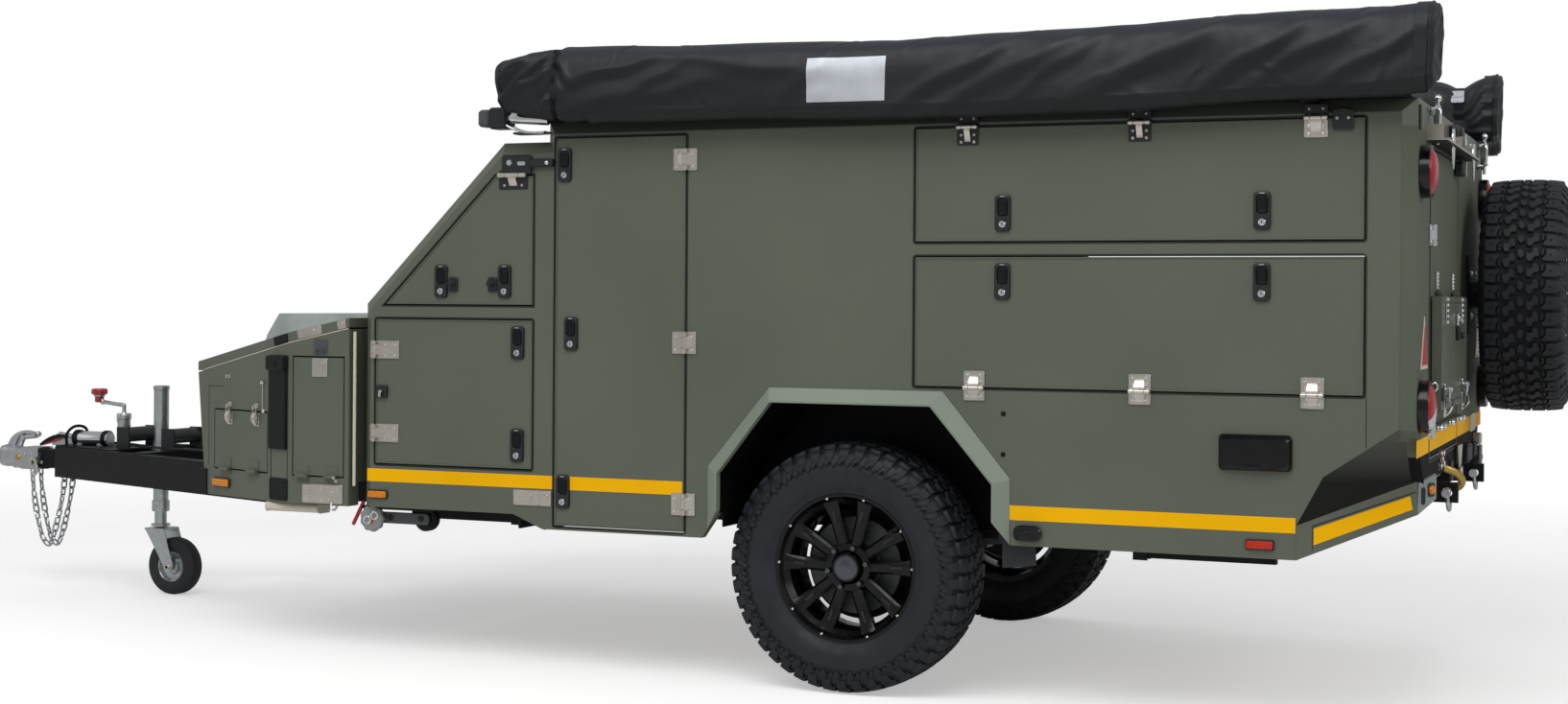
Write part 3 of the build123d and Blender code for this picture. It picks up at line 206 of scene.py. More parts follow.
def along_path(section, path, up=(0, 0, 1), closed=False):
    """A section of (side, up) carried along a path: at each point the tangent
    is the mean of its two runs, side is tangent x up, and up is made square."""
    path, section = np.asarray(path, float), np.asarray(section, float)
    if closed:
        tangent = np.roll(path, -1, 0) - np.roll(path, 1, 0)
    else:
        tangent = np.gradient(path, axis=0)
    tangent /= np.linalg.norm(tangent, axis=1)[:, None]
    side = np.cross(tangent, np.broadcast_to(np.array(up, float), tangent.shape))
    side /= np.maximum(np.linalg.norm(side, axis=1), 1e-9)[:, None]
    top = np.cross(side, tangent)
    points = path[:, None] + side[:, None] * section[None, :, :1] + top[:, None] * section[None, :, 1:]
    if closed:
        points = np.concatenate([points, points[:1]])
    return grid(points, around=True, caps=not closed)


def smooth_path(points, steps=8):
    """A curve through points: the cubic whose slope at each point is half the
    step between its neighbours."""
    p = np.asarray(points, float)
    p = np.vstack([2 * p[0] - p[1], p, 2 * p[-1] - p[-2]])
    t = np.linspace(0, 1, steps, endpoint=False)[None, :, None]
    a, b, c, d = (p[n:len(p) - 3 + n, None] for n in range(4))
    square, cube = 2 * a - 5 * b + 4 * c - d, 3 * b - a - 3 * c + d
    curve = .5 * (2 * b + (c - a) * t + square * t ** 2 + cube * t ** 3)
    return np.vstack([curve.reshape(-1, p.shape[1]), p[-2:-1]])


def pipe(points, radius, up=(0, 0, 1), steps=10, closed=False):
    """A round section carried along a path."""
    return along_path(circle(radius, steps), points, up, closed)


def screw(radius=.0045, height=.0028):
    """A pan-head screw with a hollow in its crown."""
    return turned([(radius * .9, 0), (radius, height * .4), (radius * .82, height * .85),
                   (radius * .5, height), (radius * .42, height * .55), (radius * .1, height * .5)], 10)


def hex_bolt(radius=.009, height=.006):
    """Six-sided head over a washer."""
    head = turned([(radius, .0015), (radius, height * .85), (radius * .85, height)], 6)
    return joined(turned([(radius * 1.25, 0), (radius * 1.25, .0016)], 16), head)


def piece(name, shapes, material, body=ROOT, slot="body_paint", smooth=32.0):
    """One mesh object of closed shapes, faces outward, riding on a body."""
    verts, faces = joined(shapes) if isinstance(shapes, list) else shapes
    mesh = bpy.data.meshes.new(name)
    mesh.from_pydata(verts.tolist(), [], faces)
    work = bmesh.new()
    work.from_mesh(mesh)
    bmesh.ops.remove_doubles(work, verts=work.verts, dist=2e-6)
    bmesh.ops.dissolve_degenerate(work, edges=work.edges, dist=1e-6)
    bmesh.ops.recalc_face_normals(work, faces=work.faces)
    for face in work.faces:
        face.smooth = True
    sharp = math.radians(smooth)
    for edge in work.edges:
        if len(edge.link_faces) == 2 and edge.calc_face_angle(0) > sharp:
            edge.smooth = False
    work.to_mesh(mesh)
    work.free()
    mesh.materials.append(FINISH[material])
    thing = bpy.data.objects.new(name, mesh)
    bpy.context.scene.collection.objects.link(thing)
    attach(thing, body)
    return thing


def both(shapes):
    """Left-hand shapes with their mirror images."""
    return shapes + [across(shape) for shape in shapes]


# ------------------------------------------------------------------ finishes

FINISH = {}


class Nodes:
    """A short way to write a material's node tree."""

    def __init__(self, name):
        self.material = bpy.data.materials.new(name)
        self.material.use_nodes = True
        self.tree = self.material.node_tree
        self.shader = self.tree.nodes["Principled BSDF"]
        self.coords = self.new("ShaderNodeTexCoord").outputs["Object"]

    def new(self, kind, **settings):
        """A node of a kind with its settings."""
        node = self.tree.nodes.new(kind)
        for key, value in settings.items():
            setattr(node, key, value)
        return node

    def link(self, a, b):
        """Joins an output to an input."""
        self.tree.links.new(a, b)

    def set(self, **values):
        """Values of the shader's own inputs."""
        for key, value in values.items():
            self.shader.inputs[key.replace("_", " ")].default_value = value

    def stretched(self, scale):
        """Object coordinates scaled along each axis."""
        mapping = self.new("ShaderNodeMapping")
        mapping.inputs["Scale"].default_value = scale
        self.link(self.coords, mapping.inputs["Vector"])
        return mapping.outputs["Vector"]

    def noise(self, scale, detail=3.0, rough=.55, vector=None, distort=0.0):
        """Soft cloudy noise."""
        node = self.new("ShaderNodeTexNoise")
        node.inputs["Scale"].default_value = scale
        node.inputs["Detail"].default_value = detail
        node.inputs["Roughness"].default_value = rough
        node.inputs["Distortion"].default_value = distort
        self.link(vector or self.coords, node.inputs["Vector"])
        return node.outputs["Fac"]

    def cells(self, scale, feature="F1", output="Distance"):
        """Cells of a Voronoi pattern."""
        node = self.new("ShaderNodeTexVoronoi", feature=feature)
        node.inputs["Scale"].default_value = scale
        self.link(self.coords, node.inputs["Vector"])
        return node.outputs[output]

    def fit(self, value, low, high, to_low=0.0, to_high=1.0):
        """A value carried from one range to another and held inside it."""
        node = self.new("ShaderNodeMapRange")
        for key, number in zip(("From Min", "From Max", "To Min", "To Max"), (low, high, to_low, to_high)):
            node.inputs[key].default_value = number
        self.link(value, node.inputs["Value"])
        return node.outputs["Result"]

    def math(self, operation, a, b=0.0):
        """One step of arithmetic on two values or sockets."""
        node = self.new("ShaderNodeMath", operation=operation)
        for socket, value in zip(node.inputs, (a, b)):
            if isinstance(value, (int, float)):
                socket.default_value = value
            else:
                self.link(value, socket)
        return node.outputs[0]

    def mixed(self, factor, a, b):
        """Two colours mixed by a factor."""
        node = self.new("ShaderNodeMix", data_type="RGBA")
        for socket, value in ((node.inputs[0], factor), (node.inputs[6], a), (node.inputs[7], b)):
            if isinstance(value, (tuple, list)):
                socket.default_value = (*value[:3], 1.0)
            elif isinstance(value, float):
                socket.default_value = value
            else:
                self.link(value, socket)
        return node.outputs[2]

    def soft_edges(self, radius):
        """Normals turned smoothly over every edge within a radius."""
        node = self.new("ShaderNodeBevel", samples=4)
        node.inputs["Radius"].default_value = radius
        return node.outputs["Normal"]

    def bump(self, height, strength=.3, distance=.001, before=None):
        """Normals tilted by a height, over those given before."""
        node = self.new("ShaderNodeBump")
        node.inputs["Strength"].default_value = strength
        node.inputs["Distance"].default_value = distance
        self.link(height, node.inputs["Height"])
        if before is not None:
            self.link(before, node.inputs["Normal"])
        self.link(node.outputs["Normal"], self.shader.inputs["Normal"])
        return node.outputs["Normal"]


def linear(colour):
    """A colour written in screen values, as the shader wants it."""
    c = np.array(colour, float) / 255
    return tuple(np.where(c <= .04045, c / 12.92, ((c + .055) / 1.055) ** 2.4))


def shade(colour, factor):
    """A colour made darker or lighter, no part of it over one."""
    return tuple(min(1.0, c * factor) for c in colour)


def sprayed(name, colour, roughness=.45, grain=1.0, coat=0.0, dust=.04, soft=0.0):
    """Sprayed or powder coat: a slow drift of tone, orange peel and fine dust."""
    n = Nodes(name)
    base = linear(colour)
    drift = n.fit(n.noise(1.6, 2), .3, .7)
    tone = n.mixed(drift, shade(base, .93), shade(base, 1.07))
    speck = n.fit(n.noise(420, 2), .62, .8, 0, dust * 4)
    n.link(n.mixed(speck, tone, shade(base, 1.5)), n.shader.inputs["Base Color"])
    n.link(n.fit(n.noise(60, 3), .3, .7, roughness - .05, roughness + .06), n.shader.inputs["Roughness"])
    n.set(Coat_Weight=coat)
    n.bump(n.noise(650, 2), .12 * grain, .0006, n.soft_edges(soft) if soft else None)
    FINISH[name] = n.material
    return n


def moulded(name, colour, roughness=.5, grain=1.0, scale=900):
    """Moulded plastic or rubber with a fine leathery grain."""
    n = Nodes(name)
    base = linear(colour)
    n.link(n.mixed(n.fit(n.noise(9, 3), .3, .7), shade(base, .85), shade(base, 1.2)),
           n.shader.inputs["Base Color"])
    n.link(n.fit(n.noise(40, 3), .3, .7, roughness - .06, roughness + .08), n.shader.inputs["Roughness"])
    n.bump(n.cells(scale), .18 * grain, .0006)
    FINISH[name] = n.material


def metal(name, colour, roughness=.3, brush=(30, 30, 900), marks=.5):
    """Bare metal: fine lines along one way, cloudy roughness and small marks."""
    n = Nodes(name)
    base = linear(colour)
    lines = n.noise(1.0, 3, .6, n.stretched(brush))
    cloud = n.fit(n.noise(14, 4), .3, .7)
    n.link(n.mixed(cloud, shade(base, .90), shade(base, 1.05)), n.shader.inputs["Base Color"])
    n.link(n.fit(lines, .25, .75, roughness - .06, roughness + .10), n.shader.inputs["Roughness"])
    n.set(Metallic=1.0)
    n.bump(lines, .1 * marks, .0004)
    FINISH[name] = n.material
    return n


def galvanised(name, colour):
    """Zinc with a soft spangle of cells."""
    n = Nodes(name)
    base = linear(colour)
    spangle = n.cells(70, output="Color")
    split = n.new("ShaderNodeSeparateColor")
    n.link(spangle, split.inputs[0])
    n.link(n.mixed(split.outputs[0], shade(base, .93), shade(base, 1.06)), n.shader.inputs["Base Color"])
    n.link(n.fit(split.outputs[1], 0, 1, .25, .31), n.shader.inputs["Roughness"])
    n.set(Metallic=.9)
    n.bump(n.noise(160, 3), .02, .0006, n.soft_edges(.0004))
    FINISH[name] = n.material


def tyre_rubber(name, colour):
    """Black rubber, dull and a little dusty in the grooves."""
    n = Nodes(name)
    base = linear(colour)
    cloud = n.fit(n.noise(11, 5, .6), .35, .7)
    n.link(n.mixed(cloud, shade(base, .75), shade(base, 1.35)), n.shader.inputs["Base Color"])
    n.link(n.fit(n.noise(24, 4), .3, .7, .50, .68), n.shader.inputs["Roughness"])
    n.set(Specular_IOR_Level=.42)
    n.bump(n.noise(520, 3), .22, .0007)
    FINISH[name] = n.material


def coated_cloth(name, colour):
    """Coated fabric: a fine crossed weave under a satin skin, with painted light.
    A painted highlight makes it paler where it looks up and painted shade makes it darker where it looks
    down; along the creases painted shade and highlight make it darker in their hollows and lighter on their
    ridges."""
    n = Nodes(name)
    base = linear(colour)
    weave = []
    for direction in ("X", "Z"):
        wave = n.new("ShaderNodeTexWave", wave_type="BANDS", bands_direction=direction)
        wave.inputs["Scale"].default_value = 190
        wave.inputs["Distortion"].default_value = .6
        n.link(n.coords, wave.inputs["Vector"])
        weave.append(wave.outputs["Fac"])
    cloth = n.math("MULTIPLY", weave[0], weave[1])
    crease = n.noise(7, 4, .5, n.stretched((.6, 1.6, 1.8)), .5)
    split = n.new("ShaderNodeSeparateXYZ")
    n.link(n.new("ShaderNodeNewGeometry").outputs["Normal"], split.inputs[0])
    # painted shade and highlight: darker in the creases' hollows, lighter on their ridges
    tone = n.mixed(n.fit(crease, .3, .7), shade(base, .8), shade(base, 1.25))
    # painted highlight where the face looks up, then painted shade where it looks down
    painted_top_light = n.mixed(n.fit(split.outputs["Z"], .05, .85, 0, .8), tone, shade(base, 3.6))
    n.link(n.mixed(n.fit(split.outputs["Z"], .05, -.55, 0, .7), painted_top_light, shade(base, .35)),
           n.shader.inputs["Base Color"])
    n.link(n.fit(n.noise(18, 3), .3, .7, .42, .56), n.shader.inputs["Roughness"])
    n.set(Specular_IOR_Level=.36)
    first = n.bump(crease, .22, .010)
    n.bump(cloth, .12, .0004, first)
    FINISH[name] = n.material


def lens(name, colour):
    """Lamp lens: clear plastic over a field of small prisms."""
    n = Nodes(name)
    base = linear(colour)
    prism = n.cells(260, feature="F1")
    n.link(n.mixed(n.fit(prism, .1, .6), shade(base, 1.3), shade(base, .6)), n.shader.inputs["Base Color"])
    n.set(Roughness=.25, Specular_IOR_Level=.3, Coat_Weight=.35, Coat_Roughness=.08)
    n.bump(prism, .5, .0015)
    FINISH[name] = n.material


def reflective(name, colour):
    """Retro-reflective tape: honeycomb under a clear film."""
    n = Nodes(name)
    base = linear(colour)
    comb = n.cells(300, feature="DISTANCE_TO_EDGE")
    n.link(n.mixed(n.fit(comb, .02, .08), shade(base, .82), base), n.shader.inputs["Base Color"])
    n.set(Roughness=.35, Coat_Weight=.4, Coat_Roughness=.15)
    n.bump(comb, .1, .0003)
    FINISH[name] = n.material


def board(name, colour):
    """Sealed plywood with a long grain."""
    n = Nodes(name)
    base = linear(colour)
    grain = n.noise(4, 5, .6, n.stretched((1.2, 14, 14)), .8)
    n.link(n.mixed(n.fit(grain, .3, .7), shade(base, .7), shade(base, 1.15)), n.shader.inputs["Base Color"])
    n.set(Roughness=.55)
    n.bump(grain, .2, .001)
    FINISH[name] = n.material


OLIVE, YELLOW = (89, 95, 82), (246, 183, 0)


def painted_shade_under(n):
    """Painted shade on faces that look down: black grows as the face turns under and towards its foot."""
    split = n.new("ShaderNodeSeparateXYZ")
    n.link(n.new("ShaderNodeNewGeometry").outputs["Normal"], split.inputs[0])
    place = n.new("ShaderNodeSeparateXYZ")
    n.link(n.coords, place.inputs[0])
    mask = n.math("MULTIPLY", n.fit(split.outputs["Z"], -.04, -.30),
                  n.fit(place.outputs["Z"], .87, .71, .42, .97))
    paint = n.shader.inputs["Base Color"].links[0].from_socket
    n.link(n.mixed(mask, paint, (.006, .0065, .0055)), n.shader.inputs["Base Color"])
    n.link(n.fit(mask, 0, 1, .5, .08), n.shader.inputs["Specular IOR Level"])


def dark_where(n, axis, limit, inside, shine=.5):
    """Blackens a finish below a level of Z, or where |Y| is under a limit. On the tail the black below the
    stripe is painted shade, standing for the dark open space under the body.
    """
    split = n.new("ShaderNodeSeparateXYZ")
    n.link(n.coords, split.inputs[0])
    value = split.outputs[axis]
    if inside:
        value = n.math("ABSOLUTE", value)
    mask = n.math("LESS_THAN", value, limit)
    paint = n.shader.inputs["Base Color"].links[0].from_socket
    n.link(n.mixed(mask, paint, (.004, .0045, .005)), n.shader.inputs["Base Color"])
    n.link(n.fit(mask, 0, 1, shine, .08), n.shader.inputs["Specular IOR Level"])
    n.link(n.fit(mask, 0, 1, n.shader.inputs["Coat Weight"].default_value, 0), n.shader.inputs["Coat Weight"])


def painted_ahead(n, limit, colour):
    """Body paint over bare metal ahead of a place along the caravan."""
    split = n.new("ShaderNodeSeparateXYZ")
    n.link(n.coords, split.inputs[0])
    mask = n.math("LESS_THAN", split.outputs["X"], limit)
    bare = n.shader.inputs["Base Color"].links[0].from_socket
    n.link(n.mixed(mask, bare, linear(colour)), n.shader.inputs["Base Color"])
    n.link(n.fit(mask, 0, 1, 1, 0), n.shader.inputs["Metallic"])


def make_finishes(paint, stripe):
    """Every finish by name, each colour in screen values."""
    sprayed("olive_paint", paint, .40, coat=.05, soft=.003)
    n = sprayed("arch_paint", (126, 135, 123), .42, soft=.003)
    dark_where(n, "Y", HALF + .0005, True)
    n = sprayed("tail_paint", paint, .66, soft=.003)
    # the lower rear wall blackened below z .784: painted shade for the open space under the tail
    dark_where(n, "Z", .784, False, .22)
    n = sprayed("corner_paint", paint, .40, coat=.05, soft=.003)
    # painted shade on the rear corners' faces that look down
    painted_shade_under(n)
    sprayed("yellow_vinyl", stripe, .62, .5).set(Specular_IOR_Level=.10)
    sprayed("skirt_paint", (128, 136, 133), .42, soft=.002)
    sprayed("satin_black", (11, 13, 16), .48, soft=.002).set(Specular_IOR_Level=.22)
    sprayed("gloss_black", (4, 5, 8), .20, .3, coat=.10, dust=.01).set(Specular_IOR_Level=.35)
    sprayed("rim_gloss", (3, 3, 4), .24, .3, coat=.06, dust=.01).set(Specular_IOR_Level=.30)
    sprayed("red_paint", (166, 24, 28), .3, coat=.4)
    sprayed("pale_plate", (206, 199, 180), .5, .6)
    sprayed("dark_plate", (70, 74, 76), .4)
    sprayed("corner_grey", (132, 138, 136), .46, soft=.002)
    moulded("black_plastic", (21, 24, 27), .42)
    moulded("seal_rubber", (12, 13, 14), .6, .6)
    moulded("soft_rubber", (30, 33, 36), .62)
    moulded("cowl_moulding", (174, 182, 180), .48, .5, 1200)
    metal("stainless", (206, 200, 190), .30, (40, 40, 400), .15)
    metal("chrome", (222, 224, 226), .12, marks=.15)
    metal("cap_silver", (92, 95, 101), .24, (60, 60, 60), .6)
    metal("silver_label", (196, 200, 206), .55, (500, 20, 20), .3)
    metal("cast_silver", (190, 193, 196), .30, (60, 60, 60), 1.4)
    metal("brass", (190, 160, 92), .3)
    galvanised("zinc", (186, 191, 193))
    painted_ahead(metal("hinge_steel", (206, 200, 190), .30, (40, 40, 400), .15), FRONT - .1, paint)
    tyre_rubber("tyre_rubber", (25, 29, 35))
    # near-black painted shade on the tread's groove floors and along the collar's edge
    moulded("groove_shade_rubber", (5, 6, 7), .8)
    coated_cloth("bag_cloth", (19, 22, 26))
    lens("red_lens", (176, 14, 26))
    lens("orange_lens", (214, 42, 4))
    lens("amber_lens", (255, 146, 0))
    lens("clear_lens", (222, 226, 226))
    reflective("red_tape", (206, 30, 40))
    board("plywood", (150, 128, 100))


# ------------------------------------------------------------------- places

def at(x, y, z):
    """A point given from the body's flat front."""
    return np.array([FRONT + x, y, z])


def side(shape, x, z, out=0.0):
    """A shape standing on the left side: its x rearward, y up, z outward."""
    return put(shape, at(x, -HALF - out, z), X, Z, -Y)


def tail(shape, y, z, out=0.0):
    """A shape standing on the rear face: its x to the right, y up, z rearward."""
    return put(shape, (TAIL + out, y, z), Y, Z, X)


ANGLE = math.radians(20)
NOSE_ALONG = np.array([-math.cos(ANGLE), math.sin(ANGLE), 0])
NOSE_OUT = np.array([-math.sin(ANGLE), -math.cos(ANGLE), 0])


def nose(shape, s, z, out=0.0):
    """A shape on the nose box's angled side: s is measured forward from the
    bend, its x rearward, y up, z outward."""
    return put(shape, at(-.290, -1.0, z) + NOSE_ALONG * s + NOSE_OUT * out, -NOSE_ALONG, Z, NOSE_OUT)


def pair(name, shapes, material, body=ROOT, slot="body_paint", **more):
    """The left-hand piece on its body and its mirror image on the other."""
    for hand, made in (("left", shapes), ("right", [across(s) for s in shapes])):
        piece(f"{name}_{hand}", made, material, body if body == ROOT else f"{body}_{hand}", slot, **more)


def band(outline, width, low, high):
    """A closed strip just inside an outline: its four rings joined round."""
    inner = outline_inset(outline, width)
    levels = [(outline, low), (outline, high), (inner, high), (inner, low), (outline, low)]
    return grid(stacked(levels), around=True)


def dress(node, material):
    """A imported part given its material; the shader rounds its edges."""
    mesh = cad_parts[node].data
    mesh.materials.clear()
    mesh.materials.append(FINISH[material])


# -------------------------------------------------------------------- wheels

TYRE_R, TYRE_W, WHEEL_X, WHEEL_Y, WHEEL_Z = .388, .265, 1.720, .8225, .388


def crown(t):
    """Outer radius of the tread at a distance t from its middle."""
    return TYRE_R - .0002 - .011 * np.abs(t / (TYRE_W / 2)) ** 2.6


def wrapped(blocks, depth, turn):
    """Flat tread blocks wrapped on the tyre: along becomes angle over the
    tread radius, across stays, and height is added to the crown; rings run
    from the groove's floor to an eased top, and into a small stud hole on
    the blocks wide enough for one."""
    shapes = []
    for outline in blocks:
        inner = outline_inset(outline, .0024)
        rows = []
        levels = [(outline, depth), (outline_inset(outline, .0010), .0015), (inner, 0)]
        if len(outline) == 10:
            middle = outline.mean(0)
            way = (outline - middle) / np.linalg.norm(outline - middle, axis=1)[:, None]
            levels += [(middle + way * .0042, 0), (middle + way * .0032, .004)]
        for line, drop in levels:
            a = line[:, 0] / TYRE_R + turn[:, None]
            r = crown(line[:, 1])[None] - drop
            rows.append(np.stack([r * np.cos(a), r * np.sin(a), np.broadcast_to(line[:, 1], a.shape)], -1))
        points = np.stack(rows, 1)
        n = points.shape[2]
        single = grid(points[0], around=True, caps=True)[1]
        step = points.shape[1] * n
        faces = [[v + k * step for v in f] for k in range(len(turn)) for f in single]
        shapes.append((points.reshape(-1, 3), faces))
    return shapes


WALL_LINE = np.array([
    (.216, .094), (.219, .104), (.226, .109), (.233, .110), (.240, .113), (.252, .1215), (.268, .1275),
    (.285, .1305), (.302, .1315), (.305, .1322), (.309, .1315), (.325, .1290), (.342, .1235),
    (.357, .1160), (.368, .1075), (.3745, .095), (.3765, .06)])


def wall_at(r):
    """Half width of the bare tyre at a distance from its axle."""
    return np.interp(r, WALL_LINE[:, 0], WALL_LINE[:, 1])


def wall_ribs(turn, hand, r, left, right, lift):
    """Raised bars on a side wall, one for each pitch: the edges run at given
    angles along r, their feet just under the wall, their tops lifted off it."""
    ease = .0016 / r
    a = turn[:, None, None] + np.stack([left, left + ease, right - ease, right], -1)[None]
    low, high = wall_at(r) - .002, wall_at(r) + lift
    w = np.stack([low, high, high, low], -1) * hand
    rr = np.stack([r] * 4, -1)
    points = np.stack([rr * np.cos(a), rr * np.sin(a), np.broadcast_to(w, a.shape)], -1)
    single = grid(points[0], around=True, caps=True)[1]
    step = len(r) * 4
    return points.reshape(-1, 3), [[v + k * step for v in f] for k in range(len(turn)) for f in single]


def scallops(pitches):
    """Radius of the collar's scalloped edge, ten points for each pitch."""
    phase = np.arange(pitches * 10) / 10 % 1
    return np.interp(phase, [0, .12, .26, .38, .52, .66, .80, .92, 1],
                     [.3230, .3150, .3150, .3290, .3340, .3200, .3200, .3310, .3230])


def tyre_shapes(pitches=46):
    """Carcass with a rounded side wall, seven rows of tread blocks, a
    scalloped collar and hooked bars down each shoulder."""
    profile = np.vstack([WALL_LINE, WALL_LINE[::-1] * [1, -1]])
    core = ring_of(profile, 96)
    u = 2 * math.pi * TYRE_R / pitches
    turn = angles(pitches)
    kite = np.array([(.08, -.004), (.30, -.0125), (.62, -.0105), (.80, -.001), (.60, .0115), (.28, .0095)])
    hooked = np.array([(.02, .050), (.04, .037), (.30, .034), (.40, .028), (.36, .0165), (.74, .0155),
                       (.96, .0200), (.97, .034), (.76, .038), (.66, .044), (.66, .0555), (.36, .0580)])
    small = np.array([(.10, .0610), (.30, .0625), (.56, .0600), (.58, .0680), (.34, .0720), (.12, .0700)])
    outer = np.array([(.08, .0765), (.50, .0750), (.74, .0640), (.92, .0660), (.95, .0850), (.93, .1080),
                      (.80, .1130), (.24, .1130), (.12, .1080), (.10, .0950)])
    lines = []
    for shape, hands in ((kite, (1,)), (hooked, (1, -1)), (small, (1, -1)), (outer, (1, -1))):
        for hand in hands:
            line = shape * [u, 1]
            lines.append(line if hand > 0 else (line * [-1, -1] + [u * 1.37, 0]))
    shapes = [core] + wrapped(lines, .0125, turn)
    inner = scallops(pitches)
    a = angles(pitches * 10)
    for hand in (1, -1):
        rows = []
        for t, proud in ((0, -.002), (0, .0040), (.05, .0048), (.5, .0044), (.95, .0040), (1, .0020),
                         (1, -.002)):
            r = inner + (.3560 - inner) * t
            rows.append(np.stack([r * np.cos(a), r * np.sin(a), (wall_at(r) + proud) * hand], -1))
        shapes.append(grid(np.stack(rows + rows[:1]), around=True))
        t = np.linspace(0, 1, 7)
        step = u / TYRE_R
        for high, low, start, end, bend, wide, thin, lift in (
                (.3715, .3430, .10, .14, 0, .72, .60, .0095), (.3440, .3200, .22, .56, 1, .20, .06, .0085),
                (.3470, .3300, .66, .88, 1, .14, .05, .0075)):
            r = high + (low - high) * t
            left = (start + (end - start) * t ** (1 + bend)) * step
            width = (wide + (thin - wide) * t) * step
            shapes.append(wall_ribs(turn, hand, r, left, left + width, lift * (1 - .35 * t ** 3)))
    return shapes


def groove_shade_shapes(pitches=46):
    """Painted shade: the dark floor between the tread blocks, and on each side wall a fine dark line that
    follows the scalloped edge, standing for the shade in the grooves and under the collar's edge."""
    half = [(.3775, 0), (.3771, .060), (.3752, .0957), (.3686, .1083), (.3590, .1161)]
    line = np.array([(r, -w) for r, w in half[:0:-1]] + half)
    floor = np.vstack([line, line[::-1] * [1, .985] - [.0016, 0]])
    shapes = [ring_of(floor, 96)]
    a = angles(pitches * 10)
    inner = scallops(pitches)
    for hand in (1, -1):
        rows = []
        for back, proud in ((.0002, -.001), (.0002, .0018), (.0062, .0012), (.0066, -.001)):
            r = inner - back
            rows.append(np.stack([r * np.cos(a), r * np.sin(a), (wall_at(r) + proud) * hand], -1))
        shapes.append(grid(np.stack(rows + rows[:1]), around=True))
    return shapes


def rim_shapes():
    """Barrel, ten spokes in five pairs that sweep out to the lip, and boss. Local z points away from the
    vehicle."""
    barrel = np.array([(.2150, -.1105), (.2330, -.1105), (.2330, -.1060), (.2190, -.1010), (.2170, -.0900),
                       (.2000, -.0600), (.1960, .0200), (.2000, .0700), (.2170, .0900), (.2190, .1010),
                       (.2325, .1060), (.2325, .1100), (.2290, .1112), (.2200, .1090), (.2130, .0990),
                       (.2075, .0900), (.1960, .0820), (.1900, .0700), (.1880, .0200), (.1920, -.0550),
                       (.2090, -.0850), (.2110, -.0950)])
    shapes = [ring_of(barrel, 96)]
    # a spoke: sections of eight points from the boss to the lip, each as
    # half-width, face height and depth at its distance from the axle
    run = np.array([(.052, .0165, .080, .034), (.075, .0175, .079, .034), (.105, .0182, .079, .032),
                    (.140, .0190, .081, .030), (.172, .0205, .085, .028), (.196, .0230, .090, .024),
                    (.2085, .0265, .0945, .022)])
    r, w, top, deep = run.T
    side_of = np.array([-1.0, -1.0, -.62, .62, 1.0, 1.0, .8, -.8])
    height = np.array([0, .8, 1, 1, .8, 0, -.25, -.25])
    spokes = []
    for n in range(5):
        for sign in (-1, 1):
            base = n * 2 * math.pi / 5 + math.pi / 2
            swing = base + sign * np.interp(r, [.05, .21], [.300, .275])
            sideways = side_of[None] * w[:, None]
            out = top[:, None] - deep[:, None] * (1 - height[None])
            radial = np.stack([np.cos(swing), np.sin(swing)], -1)
            tangent = np.stack([-np.sin(swing), np.cos(swing)], -1)
            flat = radial[:, None] * r[:, None, None] + tangent[:, None] * sideways[..., None]
            spokes.append(grid(np.concatenate([flat, out[..., None]], -1), around=True, caps=True))
    shapes += spokes
    boss = [(.030, .020), (.076, .020), (.080, .030), (.079, .072), (.073, .081), (.053, .083), (.048, .076),
            (.040, .074)]
    shapes.append(turned(boss, 48))
    return shapes


def wheel_hand(shapes, x, y, z, ez):
    """A wheel's shapes stood up with their local z along ez."""
    ex = X if abs(ez[0]) < .5 else Y
    return [put(s, (FRONT + x, y, z), ex, np.cross(ez, ex), ez) for s in shapes]


def small_wheel_parts():
    """Nuts in a ring, the cap and its disc, the rivets near the lip, the
    hollows of the spokes and the valve."""
    nuts = [put(hex_bolt(.0095, .018), (.0635 * math.cos(a), .0635 * math.sin(a), .0780), X, Y, Z)
            for a in np.arange(6) * math.pi / 3 + .2]
    cap = turned([(.043, .066), (.0460, .072), (.0455, .0960), (.0425, .1010), (.0385, .1020),
                  (.0370, .1000)], 48)
    disc = turned([(.0372, .0985), (.0372, .1004), (.0340, .1016), (.0300, .1010), (.0180, .1030),
                   (.0030, .1034)], 48)
    rivets, slots = [], []
    for n in range(5):
        for d in (-.278, .278):
            a = n * 2 * math.pi / 5 + math.pi / 2 + d
            rivets.append(put(turned([(.0046, 0), (.0046, .002), (.0030, .0038), (.0005, .0043)], 10),
                              (.2190 * math.cos(a), .2190 * math.sin(a), .1080)))
            radial = np.array([math.cos(a), math.sin(a), 0])
            tangent = np.array([-math.sin(a), math.cos(a), 0])
            line = tile(.062, .0085, .004, 0, .0012, .0004)
            slots.append(put(line, radial * .172 + Z * .0850, radial, tangent, Z))
    valve = put(turned([(.004, 0), (.004, .022), (.0055, .0225), (.0055, .034), (.003, .036)], 10),
                (.198 * math.cos(.63), .198 * math.sin(.63), .078), *frame_along((-.35, 0, .94)))
    shield = [(.060, -.045), (.150, -.045), (.170, -.038), (.1725, -.030), (.1700, -.034), (.148, -.041),
              (.060, -.041)]
    return nuts, cap, disc, rivets, slots, valve, turned(shield, 72)


# ------------------------------------------------------------ body hardware

